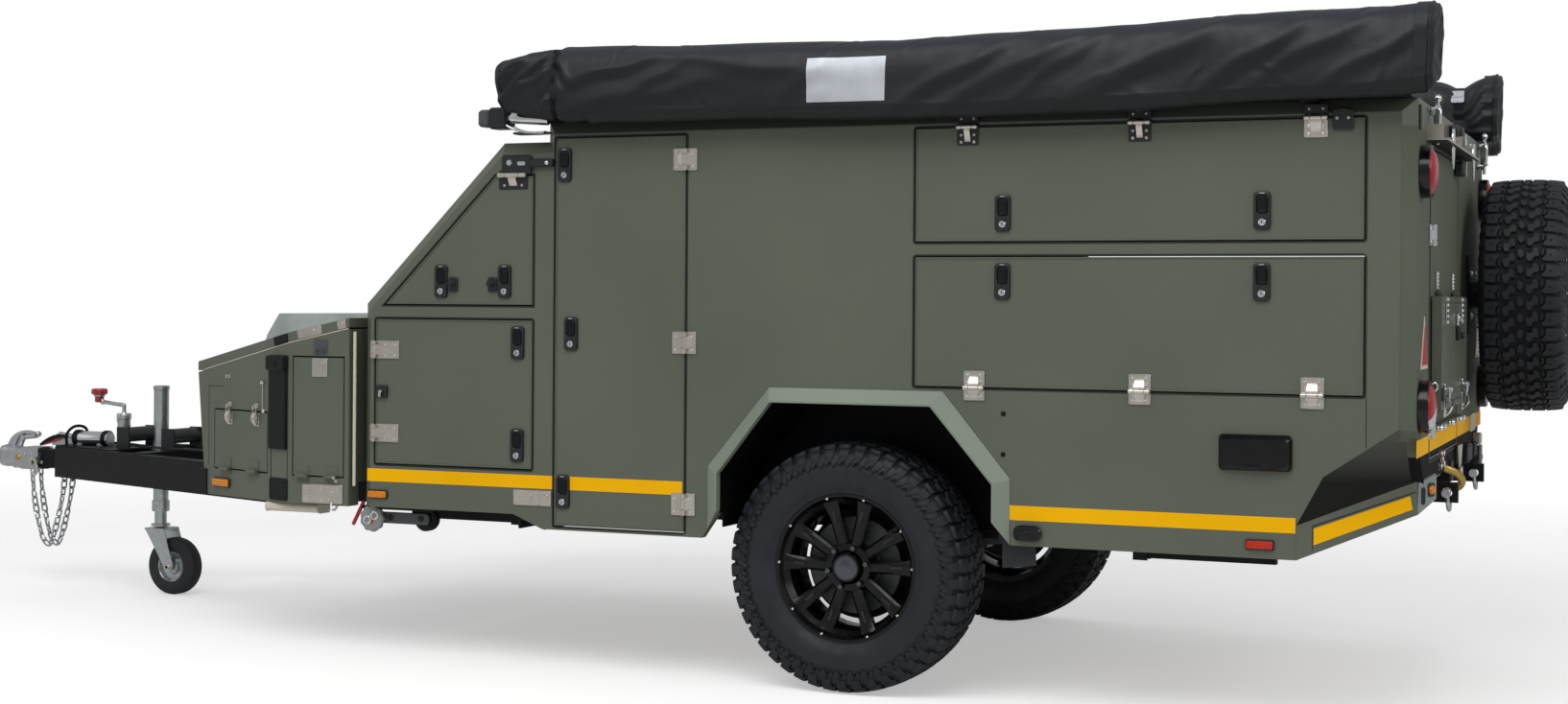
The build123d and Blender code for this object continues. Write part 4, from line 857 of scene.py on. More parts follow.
def hinge_trim(length, door_leaf, body_leaf, style="cast"):
    """Cover for one hinge in its own frame: x along the pin, z outward, the
    fixed leaf on +y. Returns (moving shapes, fixed shapes, screws on the
    moving leaf, screws on the fixed leaf)."""
    half = length / 2
    thick = .0052 if style == "cast" else .0042
    wide = .0012

    def leaf(y0, y1):
        """A flat leaf between two distances from the pin."""
        outline = rounded(length + 2 * wide, abs(y1 - y0), .005, 3, (0, (y0 + y1) / 2))
        return plate(outline, .0002, thick, .0012)

    def strap(y0, y1):
        """Raised middle from the leaf's end up to the barrel, its height a
        smooth step from the leaf's face to the pin."""
        t = np.linspace(0, 1, 9)
        y = y0 + (y1 - y0) * t
        h = thick + (.0165 - thick) * (3 * t ** 2 - 2 * t ** 3) * .92
        w = half * (.42 + .2 * t) if style == "cast" else half * .3 * np.ones(9)
        section = np.stack([np.stack([-w, y, h * 0 + .001], -1), np.stack([-w * .92, y, h], -1),
                            np.stack([w * .92, y, h], -1), np.stack([w, y, h * 0 + .001], -1)], 1)
        return grid(section, around=True, caps=True)

    moving = [leaf(-door_leaf - wide, -.0028)]
    fixed = [leaf(.0024, body_leaf + wide)]
    head = screw(.0048, .0026)
    spots = [-half * .62, half * .62]
    rows = (.74,) if door_leaf < .050 else (.84, .44)
    door_screws = [put(head, (x, -door_leaf * k, thick - .0004)) for x in spots for k in rows]
    body_screws = [put(head, (x, body_leaf * .62, thick - .0004)) for x in spots] if body_leaf > .02 else []
    if door_leaf > .026:
        (moving if style == "cast" else door_screws).append(strap(-door_leaf + .010, -.006))
    if body_leaf > .026:
        fixed.append(strap(body_leaf - .008, .006))
    quarter = half / 2
    for start, end, moves in ((-half, -quarter - .0008, False), (.0008 - quarter, quarter - .0008, True),
                              (quarter + .0008, half, False)):
        barrel = bar((start, 0, .012), (end, 0, .012), .0084, 20, .0012)
        plain, bright = (moving, door_screws) if moves else (fixed, body_screws)
        (plain if style == "cast" else bright).append(barrel)
    pin = [bar((-half - .0018, 0, .012), (half + .0018, 0, .012), .0034, 12, .001)]
    return moving, fixed, door_screws, body_screws + pin


def hang(origin, axis, out, shapes):
    """Shapes from a hinge's frame to the caravan's."""
    ex, ez = np.array(axis, float), np.array(out, float)
    return [put(s, origin, ex, np.cross(ez, ex), ez) for s in shapes]


SIDE_HINGES = (
    ("entry_door", "cast", [(1.207, z) for z in (.568, 1.075, 1.650)], -Z, .068, .044, .036),
    ("front_hatch", "cast", [(.060, z) for z in (.759, 1.037)], Z, .058, .092, .018),
    ("window_hatch", "black", [(.585, 1.610)], X, .104, .044, .016),
    ("upper_hatch", "black", [(x, 1.728) for x in (2.130, 2.6475)], X, .064, .054, .009),
    ("upper_hatch", "cast", [(3.145, 1.728)], X, .064, .054, .009),
    ("lower_hatch", "cast", [(x, .954) for x in (2.155, 2.6525, 3.140)], -X, .062, .050, .036),
)


def latch():
    """Slam latch: (plate, paddle, key barrel, keyway). The plate's face runs
    in to the rim of a shallow well in its upper part, and down to its floor."""
    width, height = .048, .108
    outer = rounded(width, height, .012, 4)
    well = rounded(width * .72, height * .50, .009, 4, (0, height * .16))
    floor = outline_inset(well, .003)
    face = .0095
    body = rings((outer, .0002), (outer, face - .003), (outline_inset(outer, .0012), face - .0008),
                 (outline_inset(outer, .003), face), (outline_inset(well, -.0012), face),
                 (well, face - .0008), (floor, .003))
    rim = rounded(width * .58, height * .40, .007, 4, (0, height * .15))
    paddle = rings((rim, .0028), (rim, .0062), (outline_inset(rim, .0015), .0076),
                   (outline_inset(rim, .006), .0066))
    key = turned([(.0105, .0002), (.0105, .0118), (.0092, .0132), (.0080, .0132), (.0074, .0122),
                  (.0010, .0122)], 24)
    dark_slot = plate(rounded(.0022, .0100, .0009, 2), .0122, .0128, .0002)
    mark = plate(rounded(.014, .0030, .0012, 2), face - .0004, face + .0006, .0002)
    down = (0, -height * .30, 0)
    return body, paddle, [put(key, down), put(mark, (0, height * .455, 0))], put(dark_slot, down)


LATCHES = (
    ("entry_door", ((.775, 1.640), (.801, 1.098), (.775, .590))),
    ("front_hatch", ((.605, 1.066), (.605, .733))),
    ("window_hatch", ((.315, 1.265), (.555, 1.265))),
    ("upper_hatch", ((2.240, 1.471), (2.998, 1.471))),
    ("lower_hatch", ((2.240, 1.270), (2.998, 1.270))),
)


def rectangle(x0, x1, z0, z1):
    """An opening's edge between two heights and two places along the side."""
    return rounded(x1 - x0, z1 - z0, .006, 3, ((x0 + x1) / 2, (z0 + z1) / 2))


def window_outline():
    """The sloping hatch: its front edge runs up beside the body's slope."""
    foot, head = (.094, 1.187), (.660, 1.610)
    rise = head[1] - foot[1]
    return np.array([foot, (head[0], foot[1]), head, (foot[0] + rise, head[1])])


def grown(outline, by):
    """An outline moved outwards."""
    return outline_inset(outline, -by)


def seal_outlines():
    """Edges of every opening in the side, as (x, z) from the body's front."""
    return {
        "entry_door": rectangle(.740, 1.207, .478, 1.728),
        "front_hatch": rectangle(.060, .660, .655, 1.141),
        "upper_hatch": rectangle(1.965, 3.280, 1.386, 1.728),
        "lower_hatch": rectangle(1.965, 3.280, .954, 1.344),
        "window_hatch": window_outline(),
    }


def in_side(shape):
    """Outlines given in the side's own (x, z) stand on the left side."""
    return put(shape, at(0, -HALF, 0), X, Z, -Y)


# ---------------------------------------------------------------- build steps

def build_paint():
    """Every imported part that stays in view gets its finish."""
    hands = ("left", "right")
    openings = ("front_hatch", "window_hatch", "upper_hatch", "lower_hatch",
                "nose_side_door", "nose_rear_door")
    nodes_by_finish = {
        "olive_paint": ["side_panel_left", "side_panel_right", "front_wall", "roof_panel",
                        "nose_box", "nose_lid", "entry_door", "rear_flap"]
                       + [f"{node}_{hand}" for node in openings for hand in hands],
        "tail_paint": ["rear_wall", "rear_door"],
        "corner_paint": ["rear_corners"],
        "arch_paint": ["wheel_arches"],
        "hinge_steel": ["fixed_hinges"],
        "cowl_moulding": ["nose_cowl"],
        "plywood": ["floor_panel"],
        "satin_black": ["chassis_frame", "drawbar", "axle_beam", "spare_carrier", "rear_bumper"]
                       + [f"steady_{end}_{hand}" for end in ("front", "rear") for hand in hands],
        "dark_plate": ["leaf_springs"] + [f"hub_{hand}" for hand in hands],
        "stainless": ["rear_shelf"],
        "black_plastic": ["tail_lights", "drawbar_rollers"],
        "cast_silver": ["coupling"],
        "zinc": ["overrun_damper", "jockey_mast", "crank_post", "jockey_leg", "jockey_fork"],
    }
    for material, nodes in nodes_by_finish.items():
        for node in nodes:
            dress(node, material)


def build_wheels(pitches):
    """The two road wheels on their bodies, and the spare behind the body."""
    nuts, cap, disc, rivets, slots, valve, shield = small_wheel_parts()
    tyre, grooves, rim = tyre_shapes(pitches), groove_shade_shapes(pitches), rim_shapes()
    spots = (("left", (WHEEL_X, -WHEEL_Y, WHEEL_Z), -Y, "wheel_left"),
             ("right", (WHEEL_X, WHEEL_Y, WHEEL_Z), Y, "wheel_right"),
             ("spare", (3.6025, .550, 1.245), X, ROOT))
    for name, place, out, body in spots:
        def made(shapes):
            """The shapes carried to this wheel's place."""
            return wheel_hand(shapes, *place, out)

        tread = piece(f"all_terrain_tyre_{name}", made(tyre), "tyre_rubber", body, "tyre", smooth=38)
        piece(f"tyre_groove_shade_{name}", made(grooves), "groove_shade_rubber", body, "tyre", smooth=38)
        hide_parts("spare_tyre" if name == "spare" else f"tyre_{name}")
        spoked = piece(f"spoked_rim_{name}", made(rim), "rim_gloss", body, "rim_black", smooth=35)
        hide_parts("spare_rim" if name == "spare" else f"rim_{name}")
        piece(f"wheel_nuts_{name}", made(nuts), "cap_silver", body, "rim_black")
        piece(f"wheel_cap_{name}", made([cap]), "gloss_black", body, "rim_black")
        piece(f"wheel_cap_disc_{name}", made([disc]), "cap_silver", body, "rim_black")
        if name != "spare":
            piece(f"dust_shield_{name}", made([shield]), "satin_black", ROOT, "drum_iron")
        piece(f"wheel_rivets_{name}", made(rivets), "chrome", body, "stainless")
        piece(f"spoke_slots_{name}", made(slots), "black_plastic", body, "rim_black")
        piece(f"tyre_valve_{name}", made([valve]), "seal_rubber", body, "tyre")


def build_seals():
    """A rubber seal round each opening and a raised edge on what fills it."""
    for name, outline in seal_outlines().items():
        make = piece if name == "entry_door" else pair
        strip = [in_side(band(grown(outline, .0056), .0047, -.0005, .0014))]
        make(f"seal_{name}", strip, "seal_rubber", ROOT, "jockey_rubber")
        edge = [in_side(band(grown(outline, -.0032), .0042, .0001, .0022))]
        make(f"edge_{name}", edge, "olive_paint", name)


def build_hinges():
    """Leaves and screws over every side hinge, and the plates on the eave."""
    steel = {"cast": ("stainless", "chrome"), "black": ("black_plastic", "stainless")}
    for body, style, spots, axis, length, door, frame_side in SIDE_HINGES:
        moving, fixed, door_screws, body_screws = hinge_trim(length, door, frame_side, style)
        cover, screws = steel[style]
        parts = {"leaf": (moving, cover, True), "frame_leaf": (fixed, cover, False),
                 "screws": (door_screws, screws, True), "frame_screws": (body_screws, screws, False)}
        for part, (shapes, material, moves) in parts.items():
            if not shapes:
                continue
            made = [s for x, z in spots for s in hang(at(x, -HALF, z), axis, -Y, shapes)]
            make = piece if body == "entry_door" else pair
            make(f"{body}_{style}_hinge_{part}", made, material, body if moves else ROOT, "stainless")
    # body plates above the upper hatch's hinges, on the eave
    plates, heads = [], []
    for x in (2.130, 2.6475, 3.145):
        plates.append(side(tile(.066, .026, .005, -.014, .005, .0015), x, 1.7525))
        heads += [side(screw(.0040, .0024), x + dx, 1.7525, .0046) for dx in (-.019, .019)]
    pair("eave_plates", plates, "black_plastic", ROOT, "stainless")
    pair("eave_plate_screws", heads, "stainless", ROOT, "stainless")


def build_latches():
    """The latches, the window hatch's knobs and the small square lock."""
    case, paddle, bright, dark = latch()
    for name, spots in LATCHES:
        for part, shapes, material in (("plate", [case], "black_plastic"),
                                       ("paddle", [paddle], "satin_black"), ("barrel", bright, "chrome"),
                                       ("keyway", [dark], "seal_rubber")):
            made = [side(s, x, z) for x, z in spots for s in shapes]
            make = piece if name == "entry_door" else pair
            make(f"{name}_latch_{part}", made, material, name, "stainless")
    knob = turned([(.009, .0002), (.009, .006), (.006, .008), (.010, .013), (.011, .019), (.009, .0235),
                   (.003, .0245)], 20)
    foot = tile(.032, .048, .008, .0002, .009, .002)
    knobs = [s for x in (.362, .510) for s in (side(foot, x, 1.255), side(knob, x, 1.258, .006))]
    pair("window_hatch_knobs", knobs, "black_plastic", "window_hatch", "stainless")
    # small square lock with its key near the front hatch's lower corner
    case = tile(.044, .042, .007, .0002, .012, .002)
    key = joined(put(turned([(.006, 0), (.006, .006), (.005, .0075)], 16), (0, 0, .012)),
                 put(tile(.010, .016, .004, 0, .0022, .0006), (0, -.010, .0185)))
    pair("front_hatch_lock", [side(case, .088, .897)], "black_plastic", "front_hatch", "stainless")
    pair("front_hatch_key", [side(key, .088, .897)], "stainless", "front_hatch", "stainless")


def tape(x0, x1, low, high):
    """A level strip on the side from x0 to x1."""
    return in_side(plate([(x0, low), (x1, low), (x1, high), (x0, high)], .0001, .0008, .0002))


def build_stripes(low, high):
    """The yellow stripe on the door and the sides."""
    piece("stripe_door", [tape(.7438, 1.2032, low, high)], "yellow_vinyl", "entry_door")
    pair("stripe_front", [tape(.030, .7392, low, high)], "yellow_vinyl")
    pair("stripe_rear", [tape(2.2655, 3.096, .568, .611)], "yellow_vinyl")
    piece("stripe_front_right", [across(tape(.7402, 1.320, low, high))], "yellow_vinyl")


# ------------------------------------------------------------------ nose box

LID_SLOPE = math.atan(.2117)


def lid_foot(x):
    """Height of the lid's lower edge at x from the body's front."""
    return 1.109 + (x + .046) * .2117


def toggle():
    """Toggle latch in its own frame: the seam is at y = 0, the case below."""
    case = plate(rounded(.034, .046, .004, 3, (0, -.031)), .0002, .003, .0008)
    t = np.linspace(0, 1, 8)
    rise = .004 + .011 * np.sin(np.pi * t) ** .8
    y = -.050 + .048 * t
    w = .011 - .002 * np.cos(2 * np.pi * t)
    lever = grid(np.stack([np.stack([-w, y, rise], -1), np.stack([-w, y, rise + .0022], -1),
                           np.stack([w, y, rise + .0022], -1), np.stack([w, y, rise], -1)], 1), True, True)
    route = smooth_path([(-.0105, -.018, .010), (-.0105, .002, .011), (-.008, .014, .010), (0, .018, .009),
                         (.008, .014, .010), (.0105, .002, .011), (.0105, -.018, .010)], 4)
    bow = pipe(route, .0016, steps=8)
    keeper = plate(rounded(.026, .016, .004, 3, (0, .018)), .0002, .004, .001)
    horn = turned([(.004, 0), (.004, .008), (.0065, .010), (.0065, .013), (.002, .014)], 16)
    heads = [put(screw(.0032, .002), (x, -.040, .0028)) for x in (-.013, .013)]
    return [case, lever, bow, keeper, put(horn, (0, .012, .003))] + heads


def stud_plate(width, height, thick=.004, studs=2):
    """A plate with a raised middle and screws toward its ends."""
    flat = tile(width, height, .005, .0002, thick, .001)
    rise = tile(width * .44, height * .5, .004, thick * .5, thick + .0028, .0012)
    heads = [put(screw(.0042, .0024), (x * width * .37, y * height * .30, thick - .0004))
             for x in (-1, 1) for y in ((-1, 1) if studs == 2 else (0,))]
    return [flat, rise] + heads


def build_nose_trim():
    """Covers, patches, lamps, toggles, stays and fine seams of the angled sides."""
    cover = [nose(tile(.100, .322, .006, .0002, .013, .0025), .054, .850),
             nose(tile(.108, .050, .006, .0002, .024, .004), .054, .984),
             nose(put(turned([(.010, 0), (.010, .002), (.006, .002), (.004, .0008)], 20), (0, 0, .024)),
                  .054, .980)]
    pair("nose_cover", cover, "satin_black")
    patch = tile(.106, .076, .008, .0002, .005, .0015)
    heads = [nose(screw(.004, .002), .054 + x, .552 + z, .0046) for x in (-.042, .042) for z in (-.026, .026)]
    pair("nose_foot_patch", [nose(patch, .054, .552)] + heads, "satin_black")
    column = band(rounded(.100, .104, .003, 2), .0022, .0001, .0012)
    pair("nose_column_seam", [nose(column, .054, .640)], "seal_rubber")
    corner = tile(.040, .094, .004, .0002, .006, .0015)
    pair("nose_corner_patch", [nose(corner, .520, .550)], "satin_black")
    pair("nose_marker", [nose(tile(.104, .034, .006, .0002, .006, .0015), .404, .5535)], "black_plastic")
    pair("nose_marker_lens", [nose(tile(.096, .026, .005, .004, .0135, .003), .404, .5535)],
         "amber_lens", ROOT, "lamp_red")
    pair("nose_toggles", [nose(s, spot, .8145) for spot in (.356, .191) for s in toggle()], "stainless",
         ROOT, "stainless")
    knob = turned([(.007, .0002), (.007, .004), (.004, .006), (.0055, .010), (.005, .014), (.002, .015)], 16)
    pair("nose_knob", [nose(knob, .362, .930)], "chrome", ROOT, "stainless")
    rod = nose(bar((0, 0, .006), (0, .088, .006), .0018, 8, .0006), .148, .822)
    bead = turned([(.0005, -.007), (.005, -.005), (.007, 0), (.005, .005), (.0005, .007)], 16)
    ball = nose(bead, .148, .914, .008)
    eye = nose(turned([(.008, .0002), (.008, .004), (.004, .008), (.001, .009)], 14), .148, .816)
    pair("nose_stay", [rod, ball, eye], "chrome", ROOT, "stainless")
    lines = [nose(plate(rounded(.090, .0018, .0006, 1), .0001, .0007, .0002), .445, .893),
             nose(plate(rounded(.0018, .290, .0006, 1), .0001, .0007, .0002), .492, .755),
             nose(plate(rounded(.0018, .175, .0006, 1), .0001, .0007, .0002), .112, .905)]
    pair("nose_fine_seams", lines, "seal_rubber")


def build_locker_trim():
    """The locker's latch and strike, and the bright plate on the skirt below."""
    pair("locker_latch", [side(s, -.162, .972) for s in stud_plate(.062, .064)], "stainless",
         "nose_rear_door", "stainless")
    route = smooth_path([(-.014, -.026, .004), (-.012, -.008, .010), (.012, -.008, .010),
                         (.014, -.026, .004)], 4)
    strike = [side(tile(.058, .052, .004, .0002, .0022, .0008), -.160, 1.042),
              side(screw(.005, .003), -.172, 1.034, .0016), side(screw(.005, .003), -.148, 1.034, .0016),
              side(pipe(route, .002, steps=8), -.160, 1.042)]
    pair("locker_strike", strike, "dark_plate", ROOT, "stainless")
    skirt = [side(tile(.162, .064, .005, .0002, .004, .001), -.149, .545)]
    hole = turned([(.006, 0), (.006, .0016), (.004, .0016), (.003, .0006)], 14)
    spots = (-.060, .018), (-.060, -.016), (0, .022), (.046, .010), (.064, .024), (0, -.020), (.03, -.014)
    skirt += [side(hole, x - .149, z + .545, .0036) for x, z in spots]
    route = smooth_path([(.040, -.028, .006), (.044, -.046, .012), (.058, -.050, .012),
                         (.066, -.036, .010)], 5)
    skirt.append(side(pipe(route, .0045, steps=10), -.149, .545))
    pair("skirt_plate", skirt, "stainless", ROOT, "stainless")


def build_lid_trim():
    """Plates on the lid's edge, laid along its slope, and the pale seals."""
    ex = np.array([math.cos(LID_SLOPE), 0, math.sin(LID_SLOPE)])
    ez = np.array([-math.sin(LID_SLOPE), 0, math.cos(LID_SLOPE)])

    def on_lid(shape, x):
        """A shape on the lid's edge, level with its slope."""
        return put(shape, at(x, -1.0, lid_foot(x) + .016), ex, ez, -Y)

    lean = math.atan(.199)
    down = -NOSE_ALONG * math.cos(lean) + Z * math.sin(lean)
    for hand, flip in (("left", False), ("right", True)):
        made = [on_lid(s, x) for x, w in ((-.205, .098), (-.076, .034)) for s in stud_plate(w, .030, .003, 1)]
        dark = [put(tile(.080, .030, .004, .0002, .005, .0015),
                    at(-.290, -1.0, lid_foot(-.332) + .016) + NOSE_ALONG * .045,
                    down, np.cross(NOSE_OUT, down), NOSE_OUT)]
        piece(f"lid_edge_plates_{hand}", [across(s) for s in made] if flip else made, "stainless",
              "nose_lid", "stainless")
        piece(f"lid_edge_cover_{hand}", [across(s) for s in dark] if flip else dark, "satin_black",
              "nose_lid")
    # pale sealing strip in the gap under the lid, all round the box
    run = [(-.050, -.9985), (-.290, -.9985)]
    ends = at(-.290, -.9985, 0) + NOSE_ALONG * .525
    run.append((ends[0] - FRONT, ends[1]))
    path = np.array([at(x, y, lid_foot(x) - .003) for x, y in run])
    path = np.vstack([path, (path * [1, -1, 1])[::-1]])
    fine = np.concatenate([np.linspace(a, b, 6, endpoint=False) for a, b in zip(path[:-1], path[1:])]
                          + [path[-1:]])
    piece("lid_seal", [along_path(rounded(.004, .0036, .001, 1), fine)], "pale_plate", ROOT, "jockey_rubber")
    strip = [put(block((0, -.004, 0), (.010, .004, .520), .0015), at(-.036, -.988, .575))]
    pair("body_joint_strip", strip, "pale_plate", ROOT, "jockey_rubber")


def build_locker_step():
    """Folded step under the locker and the short red lever beside it."""
    t = np.linspace(0, np.pi, 9)
    arc = np.column_stack([-.016 * np.sin(t), .016 * np.cos(t)])
    section = np.vstack([[(0, .016), (.055, .016), (.055, -.016), (0, -.016)], arc[::-1][1:-1]])
    step = [put(plate(section, 0, .215, .002), at(-.405, -.955, .490), Y, Z, X)]
    step += [put(block((0, 0, 0), (.012, .06, .030), .003), at(x, -.950, .500)) for x in (-.360, -.235)]
    pair("folded_step", step, "pale_plate", ROOT, "stainless")
    pair("red_lever", [bar(at(-.030, -.93, .520), at(-.060, -.95, .440), .0065, 12, .003)], "red_paint",
         ROOT, "lamp_red")


def build_corner_roller():
    """Under the front corner of the skirt: a wheel with a scalloped edge on a
    swing arm, the round housing behind it and the plate that carries them.
    The edge's radius is a mean radius plus a small cosine of nine turns."""
    edge = (.0440 + .0018 * np.cos(9 * angles(108)))[:, None] * circle(1, 108)
    wheel = [side(plate(edge, 0, .020, .004), .0233, .4670, -.052)]
    rings = [side(turned([(.016, 0), (.016, .003), (.013, .0045), (.009, .003), (.009, 0)], 24), x, z, -.0322)
             for x, z in ((.010, .462), (.038, .478))]
    dot = [side(turned([(.008, 0), (.008, .002), (.006, .003), (.001, .0032)], 16), .026, .458, -.0322)]
    arm = [side(plate(rounded(.196, .038, .012, 4), 0, .012, .002), .137, .4700, -.066)]
    eyes = [side(turned([(.011, 0), (.011, .002), (.008, .003), (.001, .0032)], 20), x, .4715, -.0542)
            for x in (.088, .206)]
    drum = turned([(.040, 0), (.042, .004), (.042, .030), (.036, .034), (.001, .034)], 36)
    housing = [side(drum, .212, .4705, -.101),
               put(block(at(-.020, -.960, .4980), at(.262, -.900, .5090), .002))]
    for name, made, material in (("wheel", wheel, "corner_grey"), ("rings", rings, "chrome"),
                                 ("dot", dot, "red_paint"), ("arm", arm, "dark_plate"),
                                 ("eyes", eyes, "seal_rubber"), ("housing", housing, "satin_black")):
        pair(f"corner_roller_{name}", made, material, ROOT, "stainless")


# ------------------------------------------------------------------- drawbar

def chain_links(path):
    """Links along a path, each a rounded loop turned a quarter from the last."""
    pitch, wire = .031, .0040
    path = np.asarray(path, float)
    gaps = np.linalg.norm(np.diff(path, axis=0), axis=1)
    run = np.concatenate([[0], np.cumsum(gaps)])
    spots = np.arange(pitch / 2, run[-1], pitch)
    mid = np.stack([np.interp(spots, run, path[:, k]) for k in range(3)], -1)
    ahead = np.stack([np.interp(spots + .004, run, path[:, k]) for k in range(3)], -1)
    back = np.stack([np.interp(spots - .004, run, path[:, k]) for k in range(3)], -1)
    a = angles(12)
    loop = np.stack([np.cos(a) * .0105, np.sin(a) * .0105 + np.sign(np.sin(a)) * .0085, 0 * a], -1)
    link = along_path(circle(wire, 5), loop, (0, 0, 1), True)
    shapes = []
    for n, (m, way) in enumerate(zip(mid, ahead - back)):
        ex, ey, ez = frame_along(way)
        turn = (n % 2) * math.pi / 2 + .35 * math.sin(n * 2.1)
        flat = math.cos(turn) * ex + math.sin(turn) * ey
        shapes.append(put(link, m, flat, ez, np.cross(flat, ez)))
    return shapes


def build_coupling():
    """Cast head: a closed skin through rounded sections, with its lever,
    ball, pin and gaiter."""
    stations = np.array([
        (-2.4695, .010, .545, .515), (-2.465, .026, .562, .500), (-2.450, .041, .578, .492),
        (-2.425, .047, .584, .489), (-2.395, .043, .580, .490), (-2.365, .036, .572, .492),
        (-2.330, .036, .568, .490), (-2.300, .040, .572, .489), (-2.262, .042, .574, .488)])
    a = angles(28)
    oval = np.stack([np.sign(np.cos(a)) * np.abs(np.cos(a)) ** .55,
                     np.sign(np.sin(a)) * np.abs(np.sin(a)) ** .55], -1)
    x, wide, top, foot = stations.T
    y = wide[:, None] * oval[None, :, 0]
    z = ((top + foot) / 2)[:, None] + ((top - foot) / 2)[:, None] * oval[None, :, 1]
    head = np.stack([np.broadcast_to((x + FRONT)[:, None], y.shape), y, z], -1)
    foot_plate = put(block((-.028, -.0455, 0), (.028, .0455, .010), .003), at(-2.345, 0, .487))
    piece("coupling_head", [grid(head, True, True), foot_plate], "cast_silver", ROOT, "frame_steel",
          smooth=50)
    path = smooth_path([at(-2.415, 0, .562), at(-2.405, 0, .592), at(-2.385, 0, .619), at(-2.350, 0, .635),
                        at(-2.310, 0, .633), at(-2.285, 0, .629)], 5)
    t = np.linspace(0, 1, len(path))
    skin = along_path(rounded(1, 1, .3, 3), path, (0, 0, 1))
    verts = skin[0].reshape(len(path), -1, 3)
    size = np.stack([.046 - .020 * t, .046 - .020 * t, .020 - .010 * t], -1)
    lever = path[:, None] + (verts - path[:, None]) * size[:, None]
    piece("coupling_lever", [(lever.reshape(-1, 3), skin[1])], "cast_silver", ROOT, "frame_steel", smooth=50)
    ball = put(turned([(.0005, -.0125), (.008, -.0098), (.0125, 0), (.008, .0098), (.0005, .0125)], 20),
               at(-2.278, 0, .6285), -Z, Y, X)
    piece("coupling_lever_ball", [ball], "cast_silver", ROOT, "frame_steel")
    pin = [put(turned([(.015, 0), (.015, .004), (.011, .006), (.009, .009), (.003, .0095)], 20),
               at(-2.352, -.0355, .532), X, Z, -Y)]
    piece("coupling_pin", pin, "brass", ROOT, "frame_steel")
    bolts = [put(hex_bolt(.0085, .007), at(along, -.0395, .545), X, Z, -Y) for along in (-2.316, -2.280)]
    piece("coupling_bolts", both(bolts), "zinc", ROOT, "frame_steel")
    collar = put(turned([(.043, 0), (.0465, .003), (.0440, .007), (.0465, .011), (.0440, .015), (.0465, .019),
                         (.043, .022)], 32), at(-2.250, 0, .530), -Z, Y, X)
    piece("tow_tube_gaiter", [collar], "soft_rubber", ROOT, "jockey_rubber")


def build_chain():
    """The two strands of the safety chain and the hook that holds them."""
    strands = []
    for y, drift in ((-.020, 0), (.020, .008)):
        strands += chain_links(smooth_path([(FRONT + x + drift, y, z) for x, z in (
            (-2.290, .488), (-2.287, .430), (-2.272, .330), (-2.243, .222), (-2.216, .180), (-2.199, .176),
            (-2.184, .192), (-2.160, .262), (-2.134, .360), (-2.121, .440), (-2.120, .480))], 8))
    piece("safety_chain", strands, "zinc", ROOT, "frame_steel")
    route = smooth_path([at(-2.275, -.050, .505), at(-2.262, -.060, .530), at(-2.240, -.058, .520),
                         at(-2.238, -.052, .480), at(-2.256, -.050, .462), at(-2.270, -.050, .478)], 5)
    hook = [pipe(route, .006), put(screw(.008, .006), at(-2.225, -.0385, .515), X, Z, -Y)]
    piece("chain_hook", hook, "stainless", ROOT, "frame_steel")


def build_handbrake():
    """Lever whose depth swells along a half sine, its red grip and its
    quadrant."""
    t = np.linspace(0, 1, 14)
    x = -2.262 + .150 * t
    top = .640 - .050 * (1 - t) ** 2.2 - .012 * t ** 3
    thick = .006 + .012 * np.sin(np.pi * np.clip(t * .9 + .08, 0, 1))
    w = .010 + .003 * t
    lever = np.stack([np.stack([x, -w, top - thick], -1), np.stack([x, -w, top], -1),
                      np.stack([x, w, top], -1), np.stack([x, w, top - thick], -1)], 1) + [FRONT, 0, 0]
    piece("handbrake_lever", [grid(lever, True, True)], "satin_black", ROOT, "frame_steel", smooth=50)
    red = lever[1:12].copy()
    red[:, [0, 3], 2] -= .010 * np.sin(np.pi * t[1:12])[:, None] + .0012
    red[:, [1, 2], 2] = red[:, [0, 3], 2] + .008
    red[:, [0, 1], 1] += .0025
    red[:, [2, 3], 1] -= .0025
    piece("handbrake_red_grip", [grid(red, True, True)], "red_paint", ROOT, "lamp_red", smooth=50)
    outline = [(-.055, 0), (.075, 0), (.060, .030), (.015, .052), (-.030, .048)]
    quadrant = plate(outline, -.004, .004, .001)
    piece("handbrake_quadrant", [put(quadrant, at(-2.150, 0, .585), X, Z, -Y)], "zinc", ROOT, "frame_steel")


def build_damper():
    """Bright sleeve of the overrun damper, its straps and its wire hoop."""
    sleeve = [put(turned([(.0292, 0), (.0302, .004), (.0302, .150), (.0285, .156), (.0285, .162),
                          (.0302, .166), (.0302, .172), (.0290, .1755)], 36), at(-2.078, 0, .619), -Z, Y, X)]
    piece("damper_sleeve", sleeve, "chrome", ROOT, "frame_steel")
    straps = [put(band(circle(.0352, 36), .0052, 0, .018), at(x, 0, .619), -Z, Y, X)
              for x in (-2.072, -1.926)]
    route = smooth_path([at(-2.098, -.034, .590), at(-2.096, -.036, .635), at(-2.078, -.020, .664),
                         at(-2.060, .010, .668), at(-2.052, .034, .650), at(-2.052, .038, .600)], 6)
    piece("damper_straps", straps + [pipe(route, .0062)], "satin_black", ROOT, "frame_steel")


